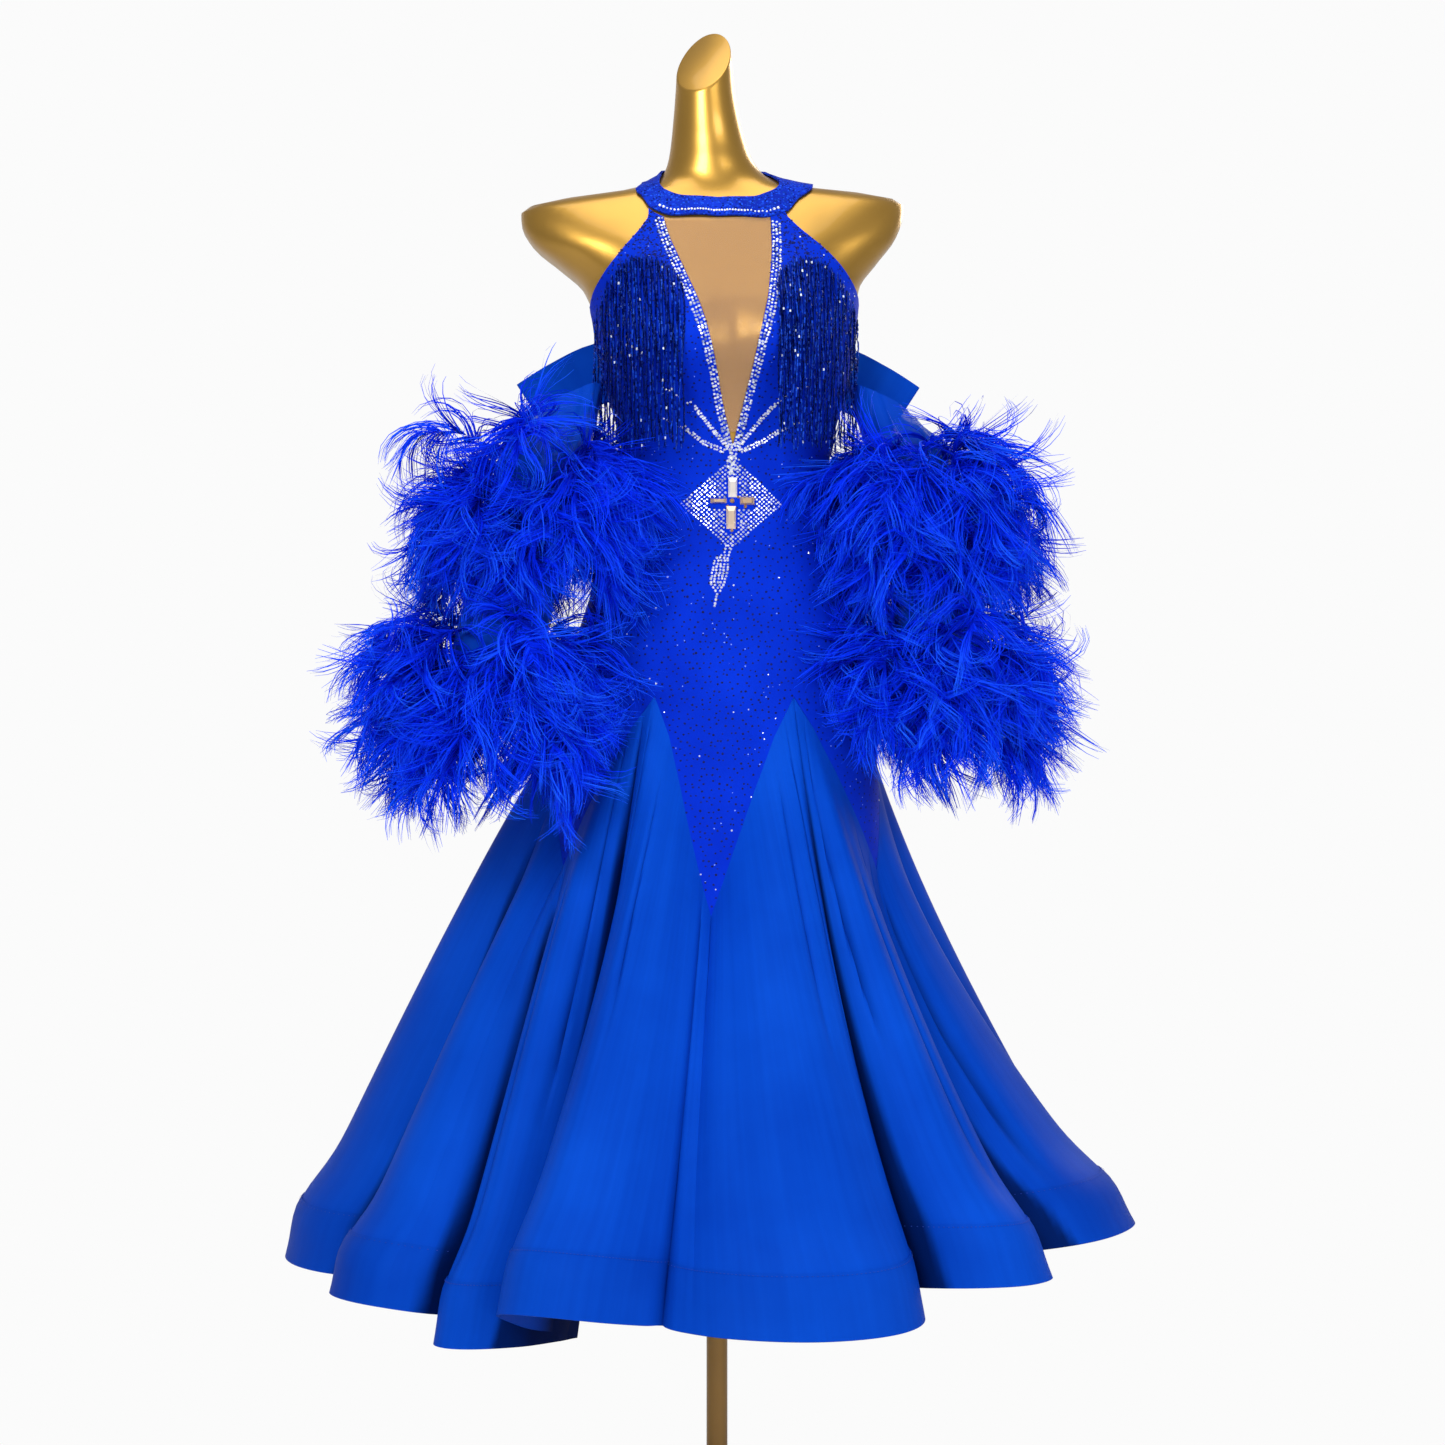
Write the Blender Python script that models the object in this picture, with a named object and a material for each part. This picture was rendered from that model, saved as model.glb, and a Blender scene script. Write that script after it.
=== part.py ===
"""Ballroom gown on a limbless dress form: halter bodice with a plunge insert, bead fringe, godet skirt,
feather sleeves and a back bow, over a smooth gold form on a pole and a round base.

Units are metres and +Z is up. The gown faces -Y, and the origin is the centre of the base's underside.
A place on the figure is an angle (0 at the front, positive towards +X) and a height.
"""

import math
import random

import bmesh
import bpy
from mathutils import Vector
from mathutils.bvhtree import BVHTree

# Cloth, seams and stand
CLOTH = 0.0013
SKIRT_CLOTH = 0.0015
SEAM_GAP = 0.00045
EDGE_GAP = 0.0010
NECK_GAP = 0.0030
CLOTH_CLEARANCE = 0.0018
LEAST_CLEARANCE = 0.0012
LAYER_GAP = 0.0006
LEAST_LAYER_GAP = 0.00035
BASE_RADIUS = 0.175
BASE_THICKNESS = 0.012
POLE_RADIUS = 0.0111
FORM_BOTTOM = 0.80
NECK_TOP = 1.60

# The figure, as level sections. Columns: height, half width, depth in front, depth behind, squareness,
# centre shift to +X, centre shift to +Y.
FIGURE = [
    (0.58, 0.184, 0.148, 0.155, 2.0, 0.000, 0.000),
    (0.68, 0.177, 0.138, 0.150, 2.0, 0.000, 0.000),
    (0.76, 0.171, 0.126, 0.146, 2.0, 0.000, 0.000),
    (0.84, 0.165, 0.114, 0.143, 2.0, 0.001, 0.000),
    (0.92, 0.157, 0.106, 0.134, 2.0, 0.003, 0.000),
    (1.00, 0.136, 0.099, 0.111, 2.0, 0.005, 0.000),
    (1.07, 0.113, 0.091, 0.085, 2.0, 0.008, 0.000),
    (1.12, 0.104, 0.087, 0.073, 2.0, 0.010, 0.000),
    (1.17, 0.111, 0.088, 0.077, 2.0, 0.010, 0.000),
    (1.22, 0.125, 0.091, 0.089, 2.1, 0.010, 0.000),
    (1.26, 0.134, 0.094, 0.096, 2.2, 0.009, 0.000),
    (1.295, 0.138, 0.093, 0.099, 2.3, 0.008, 0.000),
    (1.325, 0.146, 0.087, 0.098, 2.5, 0.005, 0.002),
    (1.35, 0.168, 0.079, 0.093, 2.8, 0.002, 0.004),
    (1.375, 0.192, 0.070, 0.084, 3.0, -0.002, 0.006),
    (1.397, 0.202, 0.061, 0.073, 3.0, -0.004, 0.008),
    (1.409, 0.203, 0.055, 0.065, 2.9, -0.004, 0.009),
    (1.417, 0.193, 0.051, 0.060, 2.7, -0.004, 0.010),
    (1.4225, 0.168, 0.049, 0.057, 2.4, -0.004, 0.010),
    (1.4265, 0.136, 0.047, 0.055, 2.2, -0.003, 0.010),
    (1.4305, 0.104, 0.046, 0.053, 2.1, -0.003, 0.010),
    (1.436, 0.076, 0.045, 0.051, 2.0, -0.003, 0.010),
    (1.445, 0.056, 0.044, 0.049, 2.0, -0.004, 0.010),
    (1.458, 0.0465, 0.043, 0.047, 2.0, -0.006, 0.009),
    (1.475, 0.0410, 0.040, 0.043, 2.0, -0.008, 0.008),
    (1.505, 0.0350, 0.036, 0.037, 2.0, -0.011, 0.004),
    (1.540, 0.0305, 0.032, 0.032, 2.0, -0.013, 0.001),
    (1.600, 0.0270, 0.028, 0.028, 2.0, -0.014, -0.003),
]

# Bust of the general figure
BUST_HEIGHT = 1.262
BUST_REACH = 0.036
FORM_BUST_REACH = 0.0335
BUST_SPACING = 0.068
BUST_ABOVE = 0.066
BUST_BELOW = 0.050
BUST_SIDE = 0.042
FORM_VALLEY = 0.42

# The figure stands with its shoulder line tipped a little
SHOULDER_TIP = 0.030

# Slanting cut on top of the neck
NECK_CUT_LOW = 1.532
NECK_CUT_TURN = math.radians(-26)

# Bodice lower edge: points between arches. Columns: angle, height.
POINT_ANGLE = 72.0
EDGE_STEP = 9.0
FRONT_POINT_Z = 0.668
SIDE_POINT_Z = 0.713
ARCH_Z = 0.893
ARCH_ROUNDNESS = 1.25
FRONT_POINT_SHIFT = -0.016

# Front neckline plunge. Columns: height, half width.
PLUNGE = [
    (1.151, 0.0000),
    (1.197, 0.0110),
    (1.258, 0.0245),
    (1.321, 0.0415),
    (1.370, 0.0530),
    (1.393, 0.0560),
]
PLUNGE_BOTTOM = 1.151
PLUNGE_ROWS = 8
LOWER_ROWS = 6
UNDERARM_Z = 1.243

# Halter outer edge. Columns: height, half width.
HALTER_EDGE = [
    (1.243, 0.1440),
    (1.279, 0.1430),
    (1.310, 0.1385),
    (1.330, 0.1280),
    (1.357, 0.1040),
    (1.378, 0.0830),
    (1.393, 0.0710),
]
BACK_TOP_Z = 1.262

# Collar, projected on the form from a point inside the neck. Columns: angle, elevation of the lower edge and
# of the upper edge in degrees.
COLLAR = [
    (0, -33.0, -22.5),
    (30, -28.5, -18.0),
    (45, -21.5, -11.0),
    (57, -11.0, -3.0),
    (70, -3.0, 5.0),
    (90, 0.5, 15.0),
    (135, 2.0, 24.0),
    (180, 4.0, 27.0),
]
COLLAR_CLOTH = 0.0022
COLLAR_CENTRE = (-0.003, 0.010, 1.435)

# Skirt folds, clockwise from the back. Columns: angle of the valley at the bodice, its angle at the hem,
# its radius at the hem, its hem height; then the flute after it: crest radius, crest hem height, flare power,
# lean of the crest in degrees.
FLUTES = [
    (-166.5, -163, 0.325, 0.300, 0.420, 0.300, 1.15, -1),
    (-139.5, -137, 0.330, 0.300, 0.430, 0.300, 1.05, -2),
    (-112.5, -111, 0.330, 0.300, 0.452, 0.304, 0.90, -3),
    (-85.5, -73, 0.340, 0.300, 0.430, 0.298, 0.90, -3),
    (-67.5, -50, 0.315, 0.275, 0.390, 0.264, 0.95, -3),
    (-40.5, -37, 0.275, 0.258, 0.415, 0.312, 1.00, -4),
    (-4.5, -12, 0.372, 0.300, 0.416, 0.293, 1.05, 4),
    (36, 29, 0.290, 0.315, 0.424, 0.326, 1.25, 4),
    (67.5, 49, 0.320, 0.335, 0.438, 0.352, 1.35, 3.5),
    (94.5, 84, 0.325, 0.330, 0.425, 0.330, 1.30, 2.5),
    (117, 113, 0.325, 0.310, 0.430, 0.310, 1.20, 1.5),
    (139.5, 140, 0.330, 0.300, 0.420, 0.300, 1.15, 0.5),
    (166.5, 166, 0.325, 0.300, 0.430, 0.300, 1.15, -0.5),
]
FOLD_UNDERCUT = 0.42
HEM_BAND_KICK = 0.050
SKIRT_COLUMNS = 16
SKIRT_ROWS = 9

# Sleeves. Columns: height, centre x, centre y, radius across, radius along y. The feather bands lie between
# two of these heights.
LEFT_SLEEVE = [
    (0.882, -0.2400, -0.112, 0.0450, 0.0450),
    (0.932, -0.2330, -0.108, 0.0450, 0.0450),
    (0.958, -0.2270, -0.105, 0.0450, 0.0450),
    (1.040, -0.2080, -0.090, 0.0450, 0.0450),
    (1.122, -0.1890, -0.066, 0.0440, 0.0440),
    (1.148, -0.1830, -0.054, 0.0430, 0.0430),
    (1.205, -0.1680, -0.008, 0.0300, 0.0330),
]
RIGHT_SLEEVE = [
    (0.882, 0.2360, -0.078, 0.0450, 0.0450),
    (0.942, 0.2320, -0.070, 0.0450, 0.0450),
    (0.968, 0.2290, -0.065, 0.0450, 0.0450),
    (1.048, 0.2190, -0.050, 0.0450, 0.0450),
    (1.127, 0.2080, -0.030, 0.0440, 0.0440),
    (1.153, 0.2020, -0.024, 0.0430, 0.0430),
    (1.205, 0.1850, 0.000, 0.0300, 0.0330),
]
SLEEVE_CLOTH = 0.0012
SLEEVE_COLUMNS = 14
RIM_SLANT = 0.022

# Feather tiers. Columns: name, sleeve, which rows of its table hold the band, reach, drop, rise, seed.
TIERS = [
    ("feathers_left_upper", "left", 4, 0.108, 0.150, 0.030, 3),
    ("feathers_left_lower", "left", 1, 0.112, 0.175, 0.034, 5),
    ("feathers_right_upper", "right", 4, 0.112, 0.145, 0.034, 7),
    ("feathers_right_lower", "right", 1, 0.096, 0.170, 0.032, 9),
]
BAND_CLOTH = 0.002
BODY_SIDE_GAP = 28.0

# Bead fringe along an arched line over the bust. Columns: half width, height.
FRINGE_LINE = [
    (0.0570, 1.333),
    (0.0640, 1.3400),
    (0.0735, 1.3450),
    (0.0870, 1.348),
    (0.1030, 1.343),
    (0.1170, 1.330),
    (0.1260, 1.317),
]
FRINGE_STRANDS = 20
FRINGE_END_Z = 1.155
STRAND_WIDTH = 0.0022

# Back bow
BOW_WIDTH = 0.064
BOW_CENTRE_X = 0.009
BOW_CLOTH = 0.0016
BOW_KNOT_Z = 1.256

# Waist ornament: a lozenge with its tail, and rays
LOZENGE_CENTRE_Z = 1.0920
LOWER_RAYS_Z = 1.1425
LOZENGE_HALF_WIDTH = 0.053
LOZENGE_HALF_HEIGHT = 0.046
STONE_HEIGHT = 0.0035
TRIM_THICKNESS = 0.0022

COLOURS = {
    "royal_jersey": (0.010, 0.040, 0.560, 0.45, 0.0),
    "satin_skirt": (0.012, 0.085, 0.640, 0.40, 0.0),
    "nude_mesh": (0.620, 0.390, 0.210, 0.60, 0.0),
    "feather": (0.005, 0.040, 0.700, 0.70, 0.0),
    "beads": (0.005, 0.020, 0.350, 0.20, 0.0),
    "crystal": (0.750, 0.800, 0.900, 0.10, 0.0),
    "gold_form": (0.560, 0.330, 0.070, 0.30, 0.9),
    "gold_stand": (0.400, 0.230, 0.060, 0.28, 1.0),
}


def clear_scene():
    for thing in list(bpy.data.objects):
        bpy.data.objects.remove(thing)


def material(name):
    found = bpy.data.materials.get(name)
    if found:
        return found
    made = bpy.data.materials.new(name)
    made.use_nodes = True
    red, green, blue, roughness, metallic = COLOURS[name]
    shader = made.node_tree.nodes["Principled BSDF"]
    shader.inputs["Base Color"].default_value = (red, green, blue, 1.0)
    shader.inputs["Roughness"].default_value = roughness
    shader.inputs["Metallic"].default_value = metallic
    return made


def smooth_rows(rows, key):
    """The row at this key, read from a smooth curve through the table's rows."""
    if key <= rows[0][0]:
        return list(rows[0])
    if key >= rows[-1][0]:
        return list(rows[-1])
    i = max(k for k in range(len(rows) - 1) if rows[k][0] <= key)
    low, high = rows[i], rows[i + 1]
    span = high[0] - low[0]
    t = (key - low[0]) / span
    before = rows[i - 1] if i > 0 else low
    after = rows[i + 2] if i + 2 < len(rows) else high
    out = []
    for c in range(len(low)):
        step = (high[c] - low[c]) / span
        back = (low[c] - before[c]) / (low[0] - before[0]) if i > 0 else step
        ahead = (after[c] - high[c]) / (after[0] - high[0]) if i + 2 < len(rows) else step
        start = 0.0 if back * step <= 0 else 2 * back * step / (back + step)
        end = 0.0 if ahead * step <= 0 else 2 * ahead * step / (ahead + step)
        value = (
            low[c] * (2 * t**3 - 3 * t**2 + 1)
            + start * span * (t**3 - 2 * t**2 + t)
            + high[c] * (3 * t**2 - 2 * t**3)
            + end * span * (t**3 - t**2)
        )
        out.append(value)
    return out


def mix(a, b, t):
    return a + (b - a) * t


def ease(low, high, value):
    t = min(1.0, max(0.0, (value - low) / (high - low)))
    return t * t * (3 - 2 * t)


def bust_reach(x, z, cloth):
    """How far the bust stands forward of the plain section."""
    fall = BUST_ABOVE if z > BUST_HEIGHT else BUST_BELOW
    upright = math.exp(-(((z - BUST_HEIGHT) / fall) ** 2))
    aside = max(0.0, abs(x) - BUST_SPACING)
    across = math.exp(-((aside / BUST_SIDE) ** 2))
    if cloth:
        return BUST_REACH * upright * across
    return FORM_BUST_REACH * upright * across * (1 - FORM_VALLEY * math.exp(-((x / 0.030) ** 2)))


def figure(angle, z, cloth=True):
    """A point of the figure's surface at this angle in degrees and height."""
    _, half, front, back, square, shift_x, shift_y = smooth_rows(FIGURE, z)
    a = math.radians(angle)
    sine, cosine = math.sin(a), math.cos(a)
    depth = front if cosine > 0 else back
    radius = ((abs(sine) / half) ** square + (abs(cosine) / depth) ** square) ** (-1 / square)
    x, y = radius * sine, -radius * cosine
    if cosine > 0:
        y -= bust_reach(x, z, cloth) * ease(0.0, 0.35, cosine)
    lift = SHOULDER_TIP * x * ease(1.26, 1.40, z) * (1 - ease(1.44, 1.50, z))
    return Vector((x + shift_x, y + shift_y, z + lift))


def lifted(surface, u, v, lift, du=0.4, dv=0.002):
    """The surface point at (u, v), moved out along the surface's normal."""
    along = surface(u + du, v) - surface(u - du, v)
    up = surface(u, v + dv) - surface(u, v - dv)
    return surface(u, v) + along.cross(up).normalized() * lift


def on_figure(angle, z, lift, cloth=True):
    return lifted(lambda a, h: figure(a, h, cloth), angle, z, lift)


def angle_at(x, z):
    """The front angle at which the figure is x off its own centre line at this height."""
    side, reach = (1 if x >= 0 else -1), abs(x)
    low, high = 0.0, 90.0
    centre = smooth_rows(FIGURE, z)[5]
    for _ in range(30):
        middle = (low + high) / 2
        if figure(middle, z).x - centre < reach:
            low = middle
        else:
            high = middle
    return side * low


def skin_of(name):
    """The named object's surface, for laying other pieces on it."""
    mesh = bpy.data.objects[name].data
    corners = [v.co.copy() for v in mesh.vertices]
    return BVHTree.FromPolygons(corners, [tuple(p.vertices) for p in mesh.polygons])


def on_skin(skin, x, z, lift):
    """A point on the front of a built piece, x being measured from the figure's centre line."""
    x += smooth_rows(FIGURE, z)[5]
    spot = skin.ray_cast(Vector((x, -1.0, z)), Vector((0, 1, 0)))[0]
    angle = angle_at(x - smooth_rows(FIGURE, z)[5], z)
    out = on_figure(angle, z, 1.0) - figure(angle, z)
    if spot is None:
        return on_figure(angle, z, CLOTH_CLEARANCE + CLOTH + lift)
    return spot + out.normalized() * lift


def arch_height(angle):
    turn = angle % POINT_ANGLE
    point = round(angle / POINT_ANGLE) % 5
    share = abs(turn - POINT_ANGLE / 2) / (POINT_ANGLE / 2)
    low = FRONT_POINT_Z if point == 0 else SIDE_POINT_Z
    return ARCH_Z - (ARCH_Z - low) * share**ARCH_ROUNDNESS


def bodice_edge(angle):
    """Height of the bodice's lower edge, where the skirt's godets are set in."""
    step = math.floor(angle / EDGE_STEP)
    return mix(arch_height(step * EDGE_STEP), arch_height((step + 1) * EDGE_STEP), angle / EDGE_STEP - step)


def point_shift(angle, z):
    """The front point hangs a little to one side."""
    near = max(0.0, 1 - abs((angle + 180) % 360 - 180) / POINT_ANGLE)
    return FRONT_POINT_SHIFT * near * (1 - ease(FRONT_POINT_Z, ARCH_Z + 0.1, z))


def bodice_point(angle, z, lift):
    place = on_figure(angle, z, lift)
    place.x += point_shift(angle, z)
    return place


def grid_layers(bm):
    return bm.verts.layers.float.new("u"), bm.verts.layers.float.new("w"), bm.verts.layers.float.new("side")


def add_grid(bm, layers, columns, rows, side=1.0):
    made = bmesh.ops.create_grid(bm, x_segments=columns, y_segments=rows, size=0.5)
    for v in made["verts"]:
        v[layers[0]] = v.co.x + 0.5
        v[layers[1]] = v.co.y + 0.5
        v[layers[2]] = side


def finish_object(name, bm, finish, smooth=True):
    bmesh.ops.triangulate(bm, faces=bm.faces[:])
    bmesh.ops.recalc_face_normals(bm, faces=bm.faces[:])
    mesh = bpy.data.meshes.new(name)
    bm.to_mesh(mesh)
    bm.free()
    made = bpy.data.objects.new(name, mesh)
    bpy.context.scene.collection.objects.link(made)
    mesh.materials.append(material(finish))
    if smooth:
        mesh.shade_smooth()
        mesh.set_sharp_from_angle(angle=math.radians(50))
    return made


def ease_off(bm, layers, extra, place, under, least):
    """Lifts the cloth where a straight stretch of it would cut into the piece under it."""
    u, w, s = layers
    for _ in range(10):
        for piece in bm.edges[:] + bm.faces[:]:
            middle = sum((v.co for v in piece.verts), Vector()) / len(piece.verts)
            short = 0.0
            for spot in [middle] + [middle.lerp(v.co, 0.5) for v in piece.verts]:
                near, out = under.find_nearest(spot)[:2]
                needed = least - (spot - near).dot(out)
                if needed > short:
                    first = piece.verts[0]
                    own = place(first[u], first[w], first[s], first[extra] + 0.001) - first.co
                    if own.normalized().dot(out) > 0.5:
                        short = needed
            for v in piece.verts:
                v[extra] += short * 0.6
        for v in bm.verts:
            v.co = place(v[u], v[w], v[s], v[extra])


def cloth_mesh(columns, rows, place, thickness, sides=(1.0,), whole_faces=False, under=None, least=None):
    """A cloth wall: a grid laid on the surface, welded where it meets itself, and given its thickness."""
    bm = bmesh.new()
    layers = grid_layers(bm)
    extra = bm.verts.layers.float.new("extra")
    for side in sides:
        add_grid(bm, layers, columns, rows, side)
    u, w, s = layers
    for v in bm.verts:
        v.co = place(v[u], v[w], v[s], 0.0)
    bmesh.ops.remove_doubles(bm, verts=bm.verts[:], dist=1e-5)
    if not whole_faces:
        bmesh.ops.triangulate(bm, faces=bm.faces[:])
    if under:
        ease_off(bm, layers, extra, place, under, least or LEAST_CLEARANCE)
    raised = bmesh.ops.extrude_face_region(bm, geom=bm.faces[:])
    outer = [g for g in raised["geom"] if isinstance(g, bmesh.types.BMVert)]
    for v in outer:
        v.co = place(v[u], v[w], v[s], v[extra] + thickness)
    return bm, set(outer)


def cloth_panel(name, columns, rows, place, thickness, finish, sides=(1.0,), under=None):
    bm, _ = cloth_mesh(columns, rows, place, thickness, sides, under=under)
    return finish_object(name, bm, finish)


def laid_on(name, columns, rows, place, thickness, skin):
    """A thin strip of stones that lies close on a built piece."""
    bm, _ = cloth_mesh(columns, rows, place, thickness, under=skin, least=LEAST_LAYER_GAP)
    return finish_object(name, bm, "crystal")


def loft(name, columns, rings, finish):
    """A solid skinned over closed level rings, each a function of the share of a turn."""
    bm = bmesh.new()
    layers = grid_layers(bm)
    add_grid(bm, layers, columns, len(rings) - 1)
    u, w, _ = layers
    for v in bm.verts:
        ring = round(v[w] * (len(rings) - 1))
        v.co = rings[ring](v[u])
    bmesh.ops.remove_doubles(bm, verts=bm.verts[:], dist=1e-6)
    bmesh.ops.holes_fill(bm, edges=[e for e in bm.edges if e.is_boundary])
    return finish_object(name, bm, finish)


def neck_cut(x, y, shift):
    """Height of the slanting cut at this place: its low side faces the front and one side."""
    toward = (x - shift[0]) * math.sin(NECK_CUT_TURN) - (y - shift[1]) * math.cos(NECK_CUT_TURN)
    middle = (NECK_TOP + NECK_CUT_LOW) / 2
    return middle - toward / 0.028 * (NECK_TOP - NECK_CUT_LOW) / 2


def build_form():
    heights = [0.800, 0.850, 0.900, 0.950, 1.000, 1.045, 1.085, 1.120, 1.155, 1.195, 1.225, 1.250]
    heights += [1.275, 1.300, 1.325, 1.350, 1.375, 1.397, 1.409, 1.417, 1.4245, 1.431, 1.438]
    heights += [1.450, 1.466, 1.485]
    rings = [lambda t, z=z: figure(t * 360, z, cloth=False) for z in heights]
    for share in (0.45, 1.0):

        def slanted(t, share=share):
            top = figure(t * 360, 1.57)
            cut = neck_cut(top.x, top.y, (-0.0135, -0.001))
            z = mix(1.485, cut, share)
            foot = figure(t * 360, z)
            return Vector((foot.x, foot.y, z))

        rings.append(slanted)
    loft("dress_form", 28, rings, "gold_form")


def build_stand():
    """Pole with its top plate, and the round base plate."""
    bm = bmesh.new()
    profile = [
        (0.0, BASE_THICKNESS + 0.0003),
        (0.022, BASE_THICKNESS + 0.0003),
        (0.022, BASE_THICKNESS + 0.012),
        (POLE_RADIUS, BASE_THICKNESS + 0.020),
        (POLE_RADIUS, FORM_BOTTOM - 0.020),
        (0.040, FORM_BOTTOM - 0.008),
        (0.040, FORM_BOTTOM - 0.0004),
        (0.0, FORM_BOTTOM - 0.0004),
    ]
    spin_profile(bm, profile, 16)
    finish_object("stand_pole", bm, "gold_stand")
    bm = bmesh.new()
    rim = 0.003
    profile = [
        (0.0, 0.0),
        (BASE_RADIUS - rim, 0.0),
        (BASE_RADIUS, rim),
        (BASE_RADIUS, BASE_THICKNESS - rim),
        (BASE_RADIUS - rim, BASE_THICKNESS),
        (0.0, BASE_THICKNESS),
    ]
    spin_profile(bm, profile, 32)
    finish_object("stand_base", bm, "gold_stand")


def spin_profile(bm, profile, steps):
    points = [bm.verts.new((r, 0.0, z)) for r, z in profile]
    edges = [bm.edges.new(pair) for pair in zip(points, points[1:])]
    bmesh.ops.spin(
        bm,
        geom=points + edges,
        cent=(0, 0, 0),
        axis=(0, 0, 1),
        angle=math.tau,
        steps=steps,
        use_merge=True,
    )
    bmesh.ops.remove_doubles(bm, verts=bm.verts[:], dist=1e-6)


def neck_line():
    """The collar's lower edge across the front, as (distance from the centre line, height)."""
    form = skin_of("dress_form")
    places = (-0.074, -0.064, -0.050, -0.030, 0.0, 0.030, 0.050, 0.064, 0.074)
    return [(x, collar_height_at(form, x)) for x in places]


def collar_height_at(form, x):
    low, high = -80.0, 80.0
    for _ in range(30):
        middle = (low + high) / 2
        if collar_point(form, middle, 0.0, 0.0).x - smooth_rows(FIGURE, 1.39)[5] < x:
            low = middle
        else:
            high = middle
    return collar_point(form, low, 0.0, 0.0).z


def plunge_half(z):
    """Half width of the plunge, straight between the bodice's rows."""
    row = max(0.0, (z - PLUNGE_BOTTOM) / (1.3920 - PLUNGE_BOTTOM) * PLUNGE_ROWS)
    low = min(PLUNGE_ROWS - 1, math.floor(row))
    ends = [PLUNGE_BOTTOM + k * (1.3920 - PLUNGE_BOTTOM) / PLUNGE_ROWS for k in (low, low + 1)]
    return mix(smooth_rows(PLUNGE, ends[0])[1], smooth_rows(PLUNGE, ends[1])[1], row - low)


def build_bodice_front(neck):
    rows = LOWER_ROWS + PLUNGE_ROWS
    lower_share = LOWER_ROWS / rows

    def place(u, w, side, thickness):
        lift = CLOTH_CLEARANCE + thickness
        if w <= lower_share + 1e-6:
            angle = u * (90 - 0.08)
            z = mix(bodice_edge(angle), PLUNGE_BOTTOM, w / lower_share)
            return bodice_point(side * angle, z, lift)
        top_x = mix(0.0560, 0.0710, u)
        top = smooth_rows(neck, side * top_x)[1] - NECK_GAP
        z = mix(PLUNGE_BOTTOM, top, (w - lower_share) / (1 - lower_share))
        inner = angle_at(plunge_half(z), z)
        outer = 90 - 0.08 if z < UNDERARM_Z else min(90 - 0.08, angle_at(smooth_rows(HALTER_EDGE, z)[1], z))
        return bodice_point(side * mix(inner, outer, u), z, lift)

    form = skin_of("dress_form")
    cloth_panel("bodice_front", 10, rows, place, CLOTH, "royal_jersey", sides=(1.0, -1.0), under=form)


def build_bodice_back():
    def place(u, w, side, thickness):
        angle = mix(90.08, 269.92, u)
        top = UNDERARM_Z + (BACK_TOP_Z - UNDERARM_Z) * math.sin(math.pi * u) ** 0.7
        z = mix(bodice_edge(angle), top, w)
        return on_figure(angle, z, CLOTH_CLEARANCE + thickness)

    cloth_panel("bodice_back", 20, 8, place, CLOTH, "royal_jersey", under=skin_of("dress_form"))


def build_mesh_insert(neck):
    def place(u, w, side, thickness):
        top = smooth_rows(neck, mix(-0.0555, 0.0555, u))[1] - NECK_GAP
        z = mix(mix(PLUNGE_BOTTOM, 1.3920, 0.5 / PLUNGE_ROWS), top, w)
        edge = angle_at(plunge_half(z) - SEAM_GAP * 1.3, z)
        return on_figure(mix(-edge, edge, u), z, CLOTH_CLEARANCE + thickness)

    cloth_panel("plunge_insert", 4, 15, place, 0.0010, "nude_mesh", under=skin_of("dress_form"))


def collar_point(form, turn, share, lift):
    """A point of the collar at this angle: the form's surface, moved out."""
    _, low, high = smooth_rows(COLLAR, abs((turn + 180) % 360 - 180))
    a, e = math.radians(turn), math.radians(mix(low, high, share))
    heading = Vector((math.sin(a) * math.cos(e), -math.cos(a) * math.cos(e), math.sin(e)))
    centre = Vector(COLLAR_CENTRE)
    spot = form.ray_cast(centre + heading * 0.4, -heading)[0]
    outward = Vector((0.7 * math.sin(a), -math.cos(a), 0.8)).normalized()
    return spot + outward * (CLOTH_CLEARANCE + lift)


def build_collar():
    form = skin_of("dress_form")

    def place(u, w, side, thickness):
        return collar_point(form, u * 360, w, thickness)

    cloth_panel("collar_band", 28, 2, place, COLLAR_CLOTH, "royal_jersey", under=form)


def hem_rows(phi):
    """The two folds on either side of this angle, and the share of the way between them."""
    rows = list(FLUTES) + [(FLUTES[0][0] + 360, FLUTES[0][1] + 360, *FLUTES[0][2:])]
    phi = (phi - FLUTES[0][0]) % 360 + FLUTES[0][0]
    i = max(k for k in range(len(rows) - 1) if rows[k][0] <= phi)
    t = (phi - rows[i][0]) / (rows[i + 1][0] - rows[i][0])
    return rows[i], rows[i + 1], t, phi


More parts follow.
